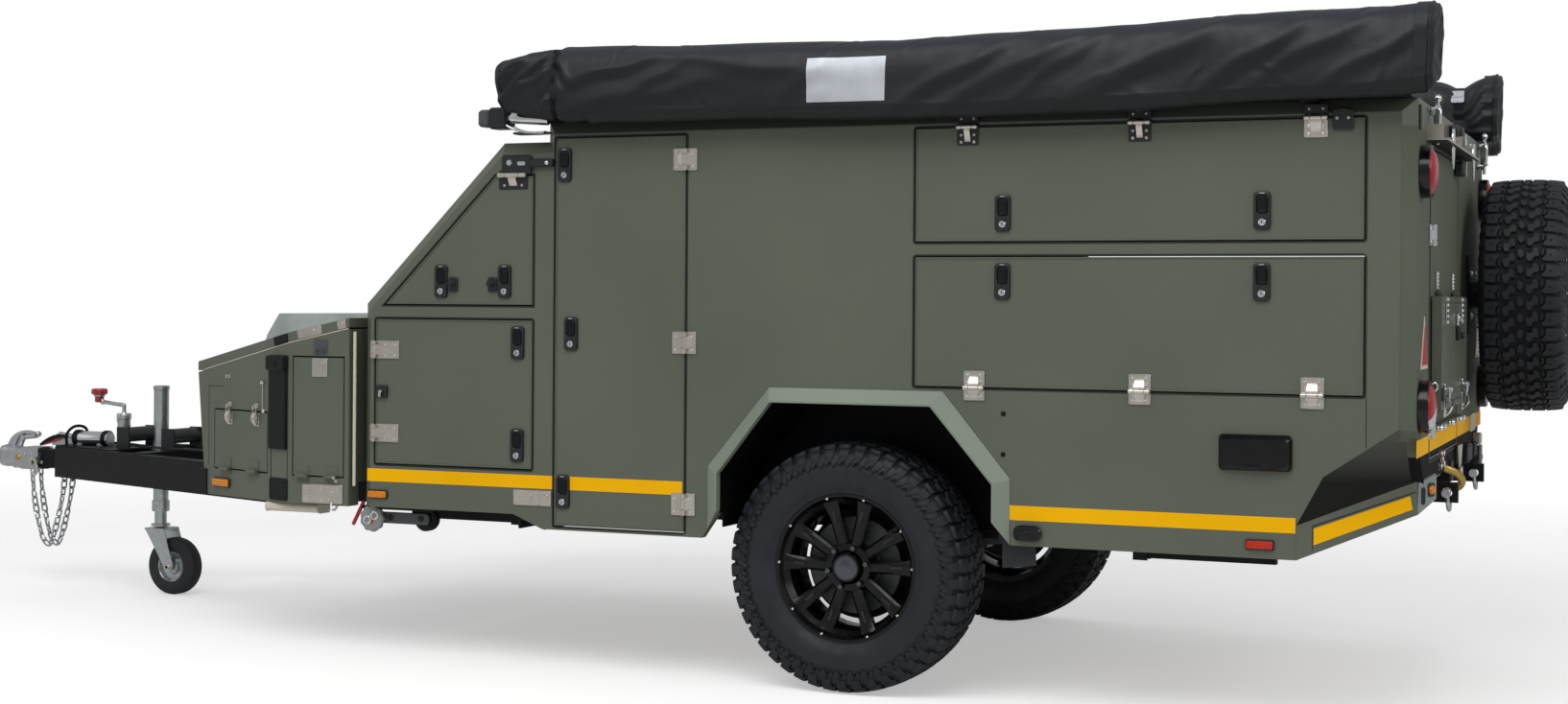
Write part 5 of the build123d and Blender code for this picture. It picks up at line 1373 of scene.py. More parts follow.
def build_crank():
    """Post cap, rod bent twice and the fluted red knob."""
    cap = [put(turned([(.0275, 0), (.0290, .002), (.0290, .020), (.0270, .024), (.0100, .0255),
                       (.0085, .030)], 28), at(-1.830, 0, .7035)),
           put(block((0, 0, 0), (.014, .010, .028), .002), at(-1.866, -.005, .690))]
    crank = pipe(smooth_path([at(-1.830, 0, .728), at(-1.830, 0, .748), at(-1.833, 0, .760),
                              at(-1.844, 0, .766), at(-1.870, 0, .767), at(-1.930, 0, .768),
                              at(-1.948, 0, .770), at(-1.957, 0, .779), at(-1.958, 0, .792),
                              at(-1.958, 0, .802)], 6), .0052, (0, 1, 0), 12)
    piece("crank_rod", cap + [crank], "zinc", ROOT, "frame_steel")
    knob = turned([(.014, 0), (.0185, .003), (.0185, .026), (.0210, .030), (.0315, .034), (.0325, .038),
                   (.0325, .052), (.0300, .056), (.0180, .0575), (.0040, .058)], 28)
    verts = knob[0].reshape(-1, 28, 3).copy()
    verts[4:8, :, :2] *= (1 - .05 * np.cos(angles(28) * 7) ** 2)[None, :, None]
    piece("crank_knob", [put((verts.reshape(-1, 3), knob[1]), at(-1.958, 0, .770))], "red_paint", ROOT,
          "lamp_red")


def build_mast():
    """Cap and rings of the jockey mast, its clamp and the leg's collar."""
    mast = [put(turned([(.0300, -.014), (.0325, -.012), (.0325, .0010), (.0300, .0035), (.0150, .0048),
                        (.0030, .0050)], 40), at(-1.640, 0, .842)),
            put(ring_of([(.0301, 0), (.0400, .001), (.0400, .008), (.0315, .010), (.0305, .022),
                         (.0301, .022)], 40), at(-1.640, 0, .585)),
            put(ring_of([(.0301, 0), (.0325, 0), (.0335, .002), (.0335, .016), (.0315, .018),
                         (.0301, .018)], 36), at(-1.640, 0, .3355))]
    piece("mast_rings", mast, "zinc", ROOT, "frame_steel")
    clamp = [put(block((-.045, -.052, 0), (.045, .052, .022), .004), at(-1.640, 0, .438)),
             put(hex_bolt(.009, .010), at(-1.600, -.052, .449), X, Z, -Y)]
    piece("mast_clamp", clamp, "satin_black", ROOT, "frame_steel")
    leg = [put(ring_of([(.0241, 0), (.0262, 0), (.0268, .002), (.0268, .011), (.0260, .013), (.0241, .013)]),
               at(-1.640, 0, .271))]
    piece("leg_collar", leg, "zinc", "jockey_leg", "frame_steel")


def build_cables():
    """Brake cable and lead along the drawbar, and the bolts of its sides."""
    cables = [pipe(smooth_path([at(-1.905, .06, .600), at(-1.86, .085, .640), at(-1.80, .09, .664),
                                at(-1.75, .085, .640), at(-1.70, .07, .606), at(-1.62, .08, .598),
                                at(-1.40, .10, .598), at(-1.10, .12, .594)], 7), .007),
              pipe(smooth_path([at(-2.10, .03, .594), at(-1.98, .055, .600), at(-1.85, .065, .597),
                                at(-1.60, -.075, .598), at(-1.35, -.09, .596), at(-1.08, -.12, .594)], 7),
                   .005)]
    piece("brake_cable_and_lead", cables, "soft_rubber", ROOT, "jockey_rubber")
    bolt, bolts = hex_bolt(.0075, .006), []
    for s in (.10, .46, .56, 1.02):
        start = at(-2.130, -.042, .5225) - NOSE_ALONG * s
        for z in (-.036, .036):
            bolts.append(put(bolt, start + Z * z + NOSE_OUT * .0005, -NOSE_ALONG, Z, NOSE_OUT))
    piece("drawbar_bolts", both(bolts), "satin_black", ROOT, "frame_steel")


def build_jockey_wheel():
    """Tread ring, dished hub and axle of the jockey wheel."""
    tyre = np.array([(.060, -.030), (.072, -.034), (.090, -.0345), (.104, -.032), (.1125, -.026),
                     (.1148, -.018), (.1150, .018), (.1125, .026), (.104, .032), (.090, .0345),
                     (.072, .034), (.060, .030)])
    ring = turned(tyre, 64)[0].reshape(len(tyre), 64, 3)
    rubber = grid(np.concatenate([ring, ring[:1]]), around=True)
    hub = [(.004, .036), (.013, .036), (.014, .030), (.030, .026), (.034, .012), (.050, .014), (.055, .026),
           (.0605, .031), (.0625, .030), (.0625, -.030), (.0605, -.031), (.055, -.026), (.050, -.014),
           (.034, -.012), (.030, -.026), (.014, -.030), (.013, -.036), (.004, -.036)]
    place = at(-1.565, 0, .115)
    tyre_piece = piece("jockey_tyre", [put(rubber, place, X, -Z, Y)], "soft_rubber", "jockey_wheel",
                       "jockey_rubber")
    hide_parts("jockey_wheel")
    piece("jockey_hub", [put(turned(hub, 48), place, X, -Z, Y)], "zinc", "jockey_wheel", "frame_steel")
    axle = [bar((0, -.0560, 0), (0, .0560, 0), .008, 16, .002)]
    axle += [put(hex_bolt(.011, .008), (0, y, 0), X, Z * -np.sign(y), Y * np.sign(y)) for y in (-.048, .048)]
    piece("jockey_axle", [put(s, place) for s in axle], "stainless", "jockey_fork", "frame_steel")


# -------------------------------------------------------------- side fittings

def marker(width, height, x, z):
    """(base, lens) of a side marker lamp."""
    base = side(tile(width, height, height * .2, .0002, .006, .0015), x, z)
    glass = side(tile(width - .008, height - .008, height * .15, .004, .014, .003), x, z)
    return base, glass


def build_side_fittings():
    """Lamps, brackets, hatch covers, step and small trim of the sides."""
    for name, colour, place in (("front", "amber_lens", (.078, .030, .073, .5535)),
                                ("rear", "orange_lens", (.082, .030, 2.998, .532))):
        base, glass = marker(*place)
        pair(f"{name}_marker", [base], "black_plastic")
        pair(f"{name}_marker_lens", [glass], colour, ROOT, "lamp_red")
    lamp = [side(plate(rounded(.085, .047, .022, 6), .0002, .018, .005), 2.3235, .5315),
            side(plate(rounded(.034, .026, .012, 5), .016, .0235, .003), 2.310, .5315)]
    pair("oval_lamp", lamp, "gloss_black")
    # charging hatch: a rounded cover on a flange, with a lip along its foot
    hatch = [side(plate(rounded(.206, .102, .012, 4), .0002, .006, .002), 2.9835, .790),
             side(plate(rounded(.196, .092, .014, 4), .004, .027, .008), 2.9835, .790),
             side(tile(.060, .012, .005, .020, .030, .003), 2.9835, .752)]
    pair("charging_hatch", hatch, "gloss_black")
    # bracket over the window hatch: a slotted block, a boss and a strap
    blocks = [side(plate(rounded(.108, .062, .008, 4), .0002, .016, .004), .601, 1.644),
              side(tile(.085, .026, .006, .0002, .020, .004), .694, 1.648)]
    boss = turned([(.010, 0), (.011, .003), (.009, .007), (.004, .008)], 20)
    stud = turned([(.007, 0), (.0075, .002), (.005, .005), (.002, .006)], 16)
    chrome = [side(boss, .578, 1.650, .014), side(stud, .716, 1.648, .018),
              side(tile(.030, .014, .005, .014, .0205, .002), .622, 1.648)]
    pair("hatch_stay_block", blocks, "black_plastic", ROOT, "stainless")
    pair("hatch_stay_bits", chrome, "chrome", ROOT, "stainless")
    small = [side(tile(.057, .058, .006, .0002, .012, .003), 3.2185, 1.722),
             side(plate(rounded(.024, .016, .004, 2), .0002, .016, .003), 3.2185, 1.745)]
    pair("awning_foot", small, "black_plastic", ROOT, "stainless")
    pair("awning_foot_screws", [side(screw(.0046, .0022), x, 1.7250, .0116) for x in (3.203, 3.234)],
         "stainless", ROOT, "stainless")
    # two-part hinge plate low on the front, by the stripe
    made = [side(s, .640, .5655) for s in stud_plate(.094, .050, .0045)]
    made += [side(s, .7095, .5655) for s in stud_plate(.044, .050, .0045, 1)]
    pair("step_hinge", made, "stainless", ROOT, "stainless")
    # folding step under the body: two rails, tread plates and its pivots
    step = [put(block((0, 0, 0), (.010, .220, .034), .003), at(x, -.985, .462)) for x in (.600, .690)]
    step += [put(block((0, 0, 0), (.100, .060, .008), .002), at(.600, y, .488))
             for y in (-.985, -.905, -.825)]
    pair("folding_step", step, "satin_black")
    # wheel-arch skirt end: a stiff flap behind the arch
    flap = plate(np.array([(0, 0), (.105, .012), (.100, .105), (0, .115)]), 0, .004, .001)
    pair("arch_flap", [put(flap, at(2.232, -.955, .420), X, Z, -Y)], "soft_rubber")
    bolts = [side(hex_bolt(.006, .004), x, z) for x, z in ((2.245, .880), (2.245, .760), (1.302, .650),
                                                           (1.302, .560))]
    pair("arch_bolts", bolts, "satin_black")
    # the seam between two side sheets
    seam = side(plate(rounded(.0022, .138, .0008, 1), .0001, .0006, .0002), 3.286, .881)
    pair("sheet_seams", [seam], "seal_rubber")


# ------------------------------------------------------------------- awnings

BAG_SECTION = np.array([(-1.1255, 1.800), (-1.1262, 1.850), (-1.1235, 1.915), (-1.105, 1.962),
                        (-1.064, 1.990), (-1.010, 1.9965), (-.950, 1.989), (-.905, 1.966), (-.889, 1.925),
                        (-.886, 1.870), (-.893, 1.822), (-.925, 1.799), (-.975, 1.797), (-1.018, 1.785),
                        (-1.060, 1.768), (-1.100, 1.766)])
BAG_START, BAG_END, STRAP_X = .566, 3.476, 3.338
# Long folds: from (x, girth) to (x, girth), height and half width. Girth runs
# up the outer face from its lower edge.
FOLDS = ((.775, .190, .600, .035, .0165, .012), (.765, .120, .610, .040, .0110, .010),
         (.690, .195, .600, .125, .0120, .010), (.790, .060, .745, .000, .0110, .009),
         (.800, .150, .860, .080, .0110, .011), (.860, .085, 1.120, .150, .0085, .016),
         (.900, .020, 1.300, .075, .0045, .022), (1.150, .165, 1.620, .110, .0035, .020),
         (1.050, .040, 1.250, .150, .0040, .017), (1.960, .010, 2.280, .160, .0058, .021),
         (2.100, .005, 2.520, .185, .0056, .024), (2.330, .030, 2.560, .170, .0044, .018),
         (2.480, .010, 2.860, .135, .0058, .023), (2.620, .060, 2.900, .185, .0048, .020),
         (2.860, .020, 3.120, .160, .0060, .020), (3.020, .040, 3.300, .170, .0046, .019),
         (3.180, .010, 3.420, .120, .0056, .017), (1.560, .020, 1.720, .140, .0030, .022))
# The other bag's strap gathers its end: folds fan out from it over the inner face.
FAN = ((3.350, .500, 3.470, .430, .0060, .010), (3.350, .510, 3.470, .480, .0050, .009),
       (3.350, .520, 3.470, .545, .0060, .011), (3.350, .530, 3.465, .600, .0065, .011),
       (3.325, .500, 3.180, .450, .0045, .013), (3.325, .520, 3.120, .560, .0045, .014),
       (3.350, .470, 3.440, .390, .0050, .010))


def ridge(along, girth, fold, length):
    """One fold: a ridge along the line between its ends with a shallower
    valley beside it, both fading out past the ends."""
    x0, g0, x1, g1, size, wide = fold
    run = math.hypot(x1 - x0, g1 - g0)
    cx, cg = (x0 + x1) / 2, (g0 + g1) / 2
    g = (girth - cg + length / 2) % length - length / 2
    dx = along - cx
    v = (dx * (x1 - x0) + g * (g1 - g0)) / run
    u = (-dx * (g1 - g0) + g * (x1 - x0)) / run + .006 * np.sin(v / run * 7)
    fade = np.exp(-(np.abs(v) / (run * .62)) ** 3.5)
    return size * fade * (np.exp(-(u / wide) ** 2) - .65 * np.exp(-((u + 1.8 * wide) / (1.4 * wide)) ** 2))


def bag_surface(hand, seed):
    """Rolled awning in its bag, as for the left side. A closed section runs
    along the body; its top and foot follow two curves, it is drawn in at the
    seams, and long folds and small creases are pushed out along its normals.
    Returns rows of points."""
    stations, around = 620, 120
    section = smooth_path(np.vstack([BAG_SECTION, BAG_SECTION[:1]]), 12)[:-1]
    gaps = np.linalg.norm(np.roll(section, -1, 0) - section, axis=1)
    run = np.concatenate([[0], np.cumsum(gaps)])
    s = np.arange(around) / around
    closed = np.vstack([section, section[:1]])
    line = np.stack([np.interp(s * run[-1], run, closed[:, k]) for k in (0, 1)], -1)
    middle = np.array([-1.004, 1.878])
    x = np.linspace(BAG_START, BAG_END, stations)
    out = np.roll(line, -1, 0) - np.roll(line, 1, 0)
    normal = np.stack([out[:, 1], -out[:, 0]], -1) / np.linalg.norm(out, axis=1)[:, None]
    normal *= np.sign(((line - middle) * normal).sum(1))[:, None]
    length = run[-1]
    along, girth = x[:, None], (s * length)[None]
    turn = girth / length * 2 * math.pi
    push = np.zeros((stations, around))
    rng = np.random.default_rng(seed)
    shift = 0 if hand == "left" else .05
    for fold in FAN if hand == "right" else ():
        push += ridge(along, girth, fold, length)
    for fold in FOLDS:
        push += ridge(along + shift, girth, fold, length)
        # the hidden faces carry the same folds further round
        push += .8 * ridge(along - .13 + shift, (girth + .27) % length, fold, length)
        push += .7 * ridge(along + .21 + shift, (girth + .52) % length, fold, length)
    for _ in range(60):
        cx, cg = .58 + 2.88 * rng.beta(.8, .8), rng.uniform(0, length)
        reach, slant = rng.uniform(.03, .10), rng.uniform(.3, 1.3) * (1 if rng.random() < .7 else -1)
        fold = (cx - reach * math.cos(slant), cg - reach * math.sin(slant), cx + reach * math.cos(slant),
                cg + reach * math.sin(slant), rng.uniform(.0008, .0022), rng.uniform(.005, .011))
        push += ridge(along, girth, fold, length)
    seams = ((.788, .014, .009), (BAG_START + .004, .012, .004), (BAG_END - .004, .010, .002))
    if hand == "right":
        seams += ((STRAP_X, .034, .017),)
    for place, width, deep in seams:
        push -= deep * np.exp(-((along - place) / width) ** 2)
    sway = .0040 * np.sin(along * 3.3 + .6) * np.cos(turn + .8)
    push += sway + .0025 * np.sin(along * 8.1 + 2 * np.sin(turn))
    push -= .0045
    points = line[None] + normal[None] * push[..., None]
    # top and foot lines: how far each is raised along the bag
    spots = [.566, .66, .78, 1.00, 1.20, 1.50, 1.80, 2.20, 2.50, 2.80, 3.10, 3.25, 3.38, 3.476]
    top = np.interp(x, spots, [-.016, .004, .020, .020, .009, .004, .004, .010, .014, .024, .026, .028,
                               .034, .046])
    foot = np.interp(x, spots, [.046, .026, .000, -.006, -.008, -.012, -.014, -.018, -.014, -.008, -.002,
                                .000, .004, .020])
    if hand == "right":
        top = top - .026 * np.exp(-((x - STRAP_X) / .06) ** 2) + .010 * (x > 3.40) * (x - 3.40) / .076
        foot = foot - .034 * np.clip((x - STRAP_X) / .11, 0, 1)
    kernel = np.hanning(41) / np.hanning(41).sum()
    top, foot = (np.convolve(np.pad(line, 20, mode="edge"), kernel, "valid") for line in (top, foot))
    share = np.clip((points[..., 1] - 1.770) / .228, 0, 1)
    points[..., 1] += top[:, None] * share + foot[:, None] * (1 - share)
    # near each end the bag turns in a little towards its core
    ends = np.clip(np.minimum((x - BAG_START) / .05, (BAG_END - x) / .03), 0, 1)
    pull = .955 + .045 * np.sin(ends * math.pi / 2)
    core = points.mean(1, keepdims=True)
    points = core + (points - core) * pull[:, None, None]
    points[..., 0] = np.clip(points[..., 0], -1.1278, -.878)
    # the front end slants: its foot starts further back than its top
    lean = (.028 * np.exp(-(x - BAG_START) / .10))[:, None] * (1 - share)
    xs = np.broadcast_to(x[:, None], push.shape) + lean
    xs = xs - (.010 * np.exp(-(BAG_END - x) / .08))[:, None] * (1 - share)
    return np.stack([xs + FRONT, points[..., 0], points[..., 1]], -1)


def bag_shape(rows):
    """The skin closed by two dished ends that run in to their middle."""
    caps = []
    for end, way in ((rows[0], 1), (rows[-1], -1)):
        centre = end.mean(0)
        steps = np.array([.97, .86, .62, .34, .10])[:, None, None]
        inner = centre + (end - centre)[None] * steps
        ripple = .0035 * np.sin(7 * angles(len(end)))[None]
        inner[..., 0] += way * (.016 * (1 - steps[..., 0] ** 2) + ripple * steps[..., 0])
        caps.append(inner)
    return grid(np.concatenate([caps[0][::-1], rows, caps[1]]), around=True, caps=True)


def row_at(rows, place):
    """Which row of the bag lies at a place along it."""
    return int((place - BAG_START) / (BAG_END - BAG_START) * (len(rows) - 1))


def round_bag(rows, place, lift, half, thick):
    """A flat band sewn round the bag at a place along it, following the
    cloth: four rows just over the skin, closed into a ring."""
    centre = row_at(rows, place)
    ring = rows[centre - 1:centre + 2].mean(0)
    away = ring - ring.mean(0)
    away[:, 0] = 0
    away /= np.linalg.norm(away, axis=1)[:, None]
    loops = [ring + away * lift + X * half * way for way in (-1, 1)]
    outer = [loop + away * thick for loop in loops]
    stack = np.stack([loops[0], outer[0], outer[1], loops[1], loops[0]])
    return grid(stack, around=True)


def build_awnings():
    """The two rolled awnings in their bags, with what is sewn on them and
    what carries them."""
    for hand, seed in (("left", 5), ("right", 11)):
        rows = bag_surface(hand, seed)

        def sewn(name, shapes, material, smooth=32.0):
            """A piece of this hand's awning."""
            made = [across(shape) for shape in shapes] if hand == "right" else shapes
            return piece(f"awning_{name}_{hand}", made, material, ROOT, "bag_fabric", smooth=smooth)

        bag = sewn("bag", [bag_shape(rows)], "bag_cloth", 75)
        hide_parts("awning_bags")
        # welts sewn round both ends, and the lapped seam near the front
        welts = [along_path(circle(.0036, 8), rows[k] + (rows[k] - rows[k].mean(0)) * .004, (1, 0, 0), True)
                 for k in (3, -4)]
        welts += [round_bag(rows, .776, .0006, .0105, .0014), round_bag(rows, .7885, .0012, .0020, .0020)]
        welts += [round_bag(rows, 3.440, .0004, .0160, .0012)]
        sewn("bag_welts", welts, "bag_cloth", 60)
        stitches = []
        for place in (3.3995, 3.4215):
            line = rows[row_at(rows, place)][:29] - Y * .0006
            stitches += [bar(spot - .0022 * Z, spot + .0022 * Z, .0007, 5, .0002) for spot in line]
        sewn("stitches", stitches, "soft_rubber")
        if hand == "right":
            sewn("strap", [round_bag(rows, STRAP_X, .0010, .020, .0026)], "satin_black", 60)
            line = rows[row_at(rows, STRAP_X)]
            inner = line[np.argmin(np.abs(line[:, 2] - 1.950) + (line[:, 1] < -1.0))]
            lean = np.array([0, .86, .51])
            place = inner, X, np.cross(lean, X), lean
            buckle = [put(tile(.046, .052, .006, .0022, .0064, .0015), *place),
                      put(bar((-.020, 0, .007), (.020, 0, .007), .003, 8, .0006), *place)]
            sewn("buckle", buckle, "silver_label")
        # plain silver patch sewn on the outer face, following the cloth under it
        inside = (rows[:, 0, 0] > FRONT + 1.658) & (rows[:, 0, 0] < FRONT + 1.914)
        y, z = rows[len(rows) * 15 // 31, :, 1:].T
        columns = np.where((z > 1.800) & (z < 1.940) & (y < -1.05))[0]
        cut = rows[inside][:, columns[np.argsort(z[columns])]]
        rim = np.concatenate([cut - Y * .0016, (cut - Y * .0002)[:, ::-1]], 1)
        sewn("patch", [grid(rim, around=True, caps=True)], "silver_label", 50)
    # end fitting and arm that carry the roll at its front
    grey = [put(block((0, 0, 0), (.044, .060, .056), .008), at(.464, -1.030, 1.768)),
            put(block((0, 0, 0), (.110, .052, .008), .003), at(.590, -1.020, 1.741))]
    pair("awning_end_cap", grey, "dark_plate", ROOT, "frame_steel")
    feet = [put(block((0, 0, 0), (.066, .066, .070), .006), at(.507, -1.033, 1.760))]
    feet += [put(block((0, 0, 0), (.050, .110, .022), .004), at(x, -.995, 1.772)) for x in (.90, 2.0, 3.10)]
    pair("awning_feet", feet, "black_plastic", ROOT, "frame_steel")
    rail = [put(block((0, 0, 0), (2.700, .095, .019), .003), at(.700, -.9975, 1.7790))]
    pair("awning_rail", rail, "satin_black", ROOT, "frame_steel")
    arm = [bar(at(.570, -1.004, 1.796), at(.716, -1.004, 1.786), .0175, 24, .003)]
    blade = smooth_path([at(.572, -1.004, 1.770), at(.600, -1.004, 1.757), at(.640, -1.004, 1.748),
                         at(.690, -1.004, 1.744), at(.712, -1.004, 1.746)], 6)
    arm.append(along_path(rounded(.052, .007, .003, 2), blade))
    pair("awning_arm", arm, "chrome", ROOT, "frame_steel")


# ---------------------------------------------------------------------- rear

def build_lamps():
    """The round tail lamps: a dome turned about its axis in a deep rim."""
    red, white, rims = [], [], []
    for z, split in ((1.580, False), (.925, True)):
        dome = [(.0005, .0445), (.030, .0430), (.050, .0385), (.062, .0310), (.066, .0235)]
        rims.append(tail(turned([(.0740, .0002), (.0745, .010), (.0740, .0270), (.0715, .0295),
                                 (.0670, .0295), (.0650, .0240), (.0400, .0238)], 48), -.880, z))
        if not split:
            red.append(tail(turned(dome, 48), -.880, z))
            continue
        # the lower lamp has a white sector at its foot
        for start, sweep, to in ((-.18 * math.pi, 1.36 * math.pi, red),
                                 (1.19 * math.pi, .62 * math.pi, white)):
            a = start + np.linspace(0, sweep, 33)
            profile = np.array(dome)
            top = np.stack([profile[:, None, 0] * np.cos(a), profile[:, None, 0] * np.sin(a),
                            np.repeat(profile[:, 1:], 33, 1)], -1)
            foot = top.copy()
            foot[..., 2] = .0225
            loop = np.concatenate([top, foot[::-1]])
            to.append(tail(grid(np.concatenate([loop, loop[:1]])), -.880, z))
            ends = [loop[:, k] for k in (0, -1)]
            to += [tail((end, [list(range(len(end)))]), -.880, z) for end in ends]
    for name, shapes, material in (("tail_lamp_rims", rims, "gloss_black"),
                                   ("tail_lamp_red", red, "red_lens"),
                                   ("tail_lamp_white", white, "clear_lens")):
        piece(name, both(shapes), material, ROOT, "lamp_red")


def triangle(size, inset_by=0.0):
    """A reflector's outline, its foot on the local x axis."""
    corners = np.array([(-size / 2, 0), (size / 2, 0), (0, size * .9)])
    return outline_inset(corners, inset_by)


def build_reflectors():
    """Triangles, yellow stripes and the blank plate of the rear face."""
    border = [tail(plate(triangle(.166), .0002, .0022, .0006), -.797, 1.028)]
    piece("triangle_border", both(border), "pale_plate", ROOT, "lamp_red")
    piece("triangle_red", both([tail(plate(triangle(.166, .011), .0012, .0034, .0006), -.797, 1.028)]),
          "red_tape", ROOT, "lamp_red")
    foot, head = .785, .834

    def stripe(start, end):
        """One run of the stripe between two places across the face."""
        outline = [(start, foot), (end, foot), (end, head), (start, head)]
        return tail(plate(outline, .0002, .001, .0003), 0, 0)

    piece("rear_stripe", [stripe(-.955, -.668), stripe(.123, .560), stripe(.735, .955)], "yellow_vinyl")
    piece("rear_stripe_door", [stripe(-.662, .117)], "yellow_vinyl", "rear_door")
    blank = plate(rounded(.170, .060, .006, 3, (.648, .8085)), .0002, .004, .001)
    piece("blank_plate", [tail(blank, 0, 0)], "pale_plate", ROOT, "lamp_red")


def build_rear_door_trim():
    """Seal, edge, hinges and the long strap leaves of the rear door."""
    opening = rounded(.785, .900, .006, 3, (-.2725, 1.210))
    piece("rear_door_seal", [tail(band(grown(opening, .0075), .0066, -.0005, .0016), 0, 0)], "seal_rubber",
          ROOT, "jockey_rubber")
    piece("rear_door_edge", [tail(band(grown(opening, -.0032), .0042, .0001, .0022), 0, 0)], "olive_paint",
          "rear_door")
    moving, fixed, a, b = hinge_trim(.060, .015, .030)
    for part, shapes, body in (("leaf", moving + a, "rear_door"), ("frame_leaf", fixed + b, ROOT)):
        made = [s for z in (.855, 1.410) for s in hang((TAIL, -.665, z), Z, X, shapes)]
        piece(f"rear_door_hinge_{part}", made, "chrome", body, "stainless")
    # long strap leaves over the flap's hinges, with a row of screws each
    straps, dots = [], []
    for y in (-.495, -.055):
        for low, high, out in ((1.250, 1.312, .0), (1.150, 1.236, .0295)):
            strip = tile(.030, high - low, .004, .0002, .0038, .001)
            body = "rear_door" if out == 0 else "rear_flap"
            straps.append((tail(strip, y, (low + high) / 2, out), body))
            dots += [(tail(screw(.0056, .0046), y, z, out + .0034), body)
                     for z in np.linspace(low + .010, high - .010, 5)]
    for body in ("rear_door", "rear_flap"):
        piece(f"strap_leaves_{body}", [s for s, b in straps + dots if b == body], "chrome", body, "stainless")


def build_flap_trim():
    """Lock, grip, edge, toggles and hooks of the table, and the ledge below."""
    lock = [tail(plate(rounded(.046, .040, .010, 4), .0002, .010, .003), -.200, 1.166, .029),
            tail(put(turned([(.012, 0), (.012, .009), (.009, .012), (.002, .012)], 20), (0, .002, .008)),
                 -.200, 1.166, .029)]
    piece("flap_lock", lock, "chrome", "rear_flap", "stainless")
    grip = [tail(plate(rounded(.034, .044, .012, 5), .0002, .014, .004), -.200, 1.122, .029),
            tail(put(turned([(.010, 0), (.011, .010), (.008, .015), (.002, .016)], 18), (0, -.006, .012)),
                 -.200, 1.122, .029)]
    piece("flap_lock_grip", grip, "black_plastic", "rear_flap", "stainless")
    frame_edge = tail(band(rounded(.738, .328, .010, 3, (-.275, 1.069)), .016, .0002, .0035), 0, 0, .029)
    piece("flap_edge", [frame_edge], "olive_paint", "rear_flap")
    toggles = [put(s, (TAIL + .029, y, .948), Y * 1.15, Z * 1.25, X * 1.5) for y in (-.540, -.020)
               for s in toggle()]
    piece("flap_toggles", toggles, "chrome", "rear_flap", "stainless")
    route = smooth_path([(TAIL + .004, -.655, .982), (TAIL + .018, -.655, .984), (TAIL + .022, -.655, .970),
                         (TAIL + .012, -.655, .958)], 5)
    hooks = [pipe(route, .0035, (0, 1, 0), 8),
             bar((TAIL + .010, -.640, .838), (TAIL + .010, -.640, .892), .0032, 10, .001)]
    hooks += [tail(screw(.005, .004), -.654, .925)]
    piece("flap_side_hooks", hooks, "chrome", "rear_door", "stainless")
    piece("flap_side_lock", [tail(tile(.030, .040, .006, .0002, .010, .002), -.625, .950, .029)],
          "black_plastic", "rear_flap", "stainless")
    ledge = [tail(plate(rounded(.770, .020, .004, 2), .0002, .016, .003), -.2725, .8500)]
    knob = turned([(.007, 0), (.008, .006), (.005, .010), (.009, .014), (.008, .020), (.002, .021)], 16)
    knobs = [tail(knob, y, .852, .014) for y in (-.60, -.50, -.28, -.05, .06)]
    piece("rear_ledge", ledge, "olive_paint", "rear_door")
    piece("rear_ledge_knobs", knobs, "chrome", "rear_door", "stainless")


def build_carrier_bolts():
    """Bolts of the spare wheel's carrier, on an ellipse round its hub."""
    bolts = [tail(hex_bolt(.010, .008), .550 + .115 * math.cos(a), 1.245 + .100 * math.sin(a), .0105)
             for a in np.arange(4) * math.pi / 2 + math.pi / 4]
    piece("carrier_bolts", bolts, "zinc", ROOT, "frame_steel")


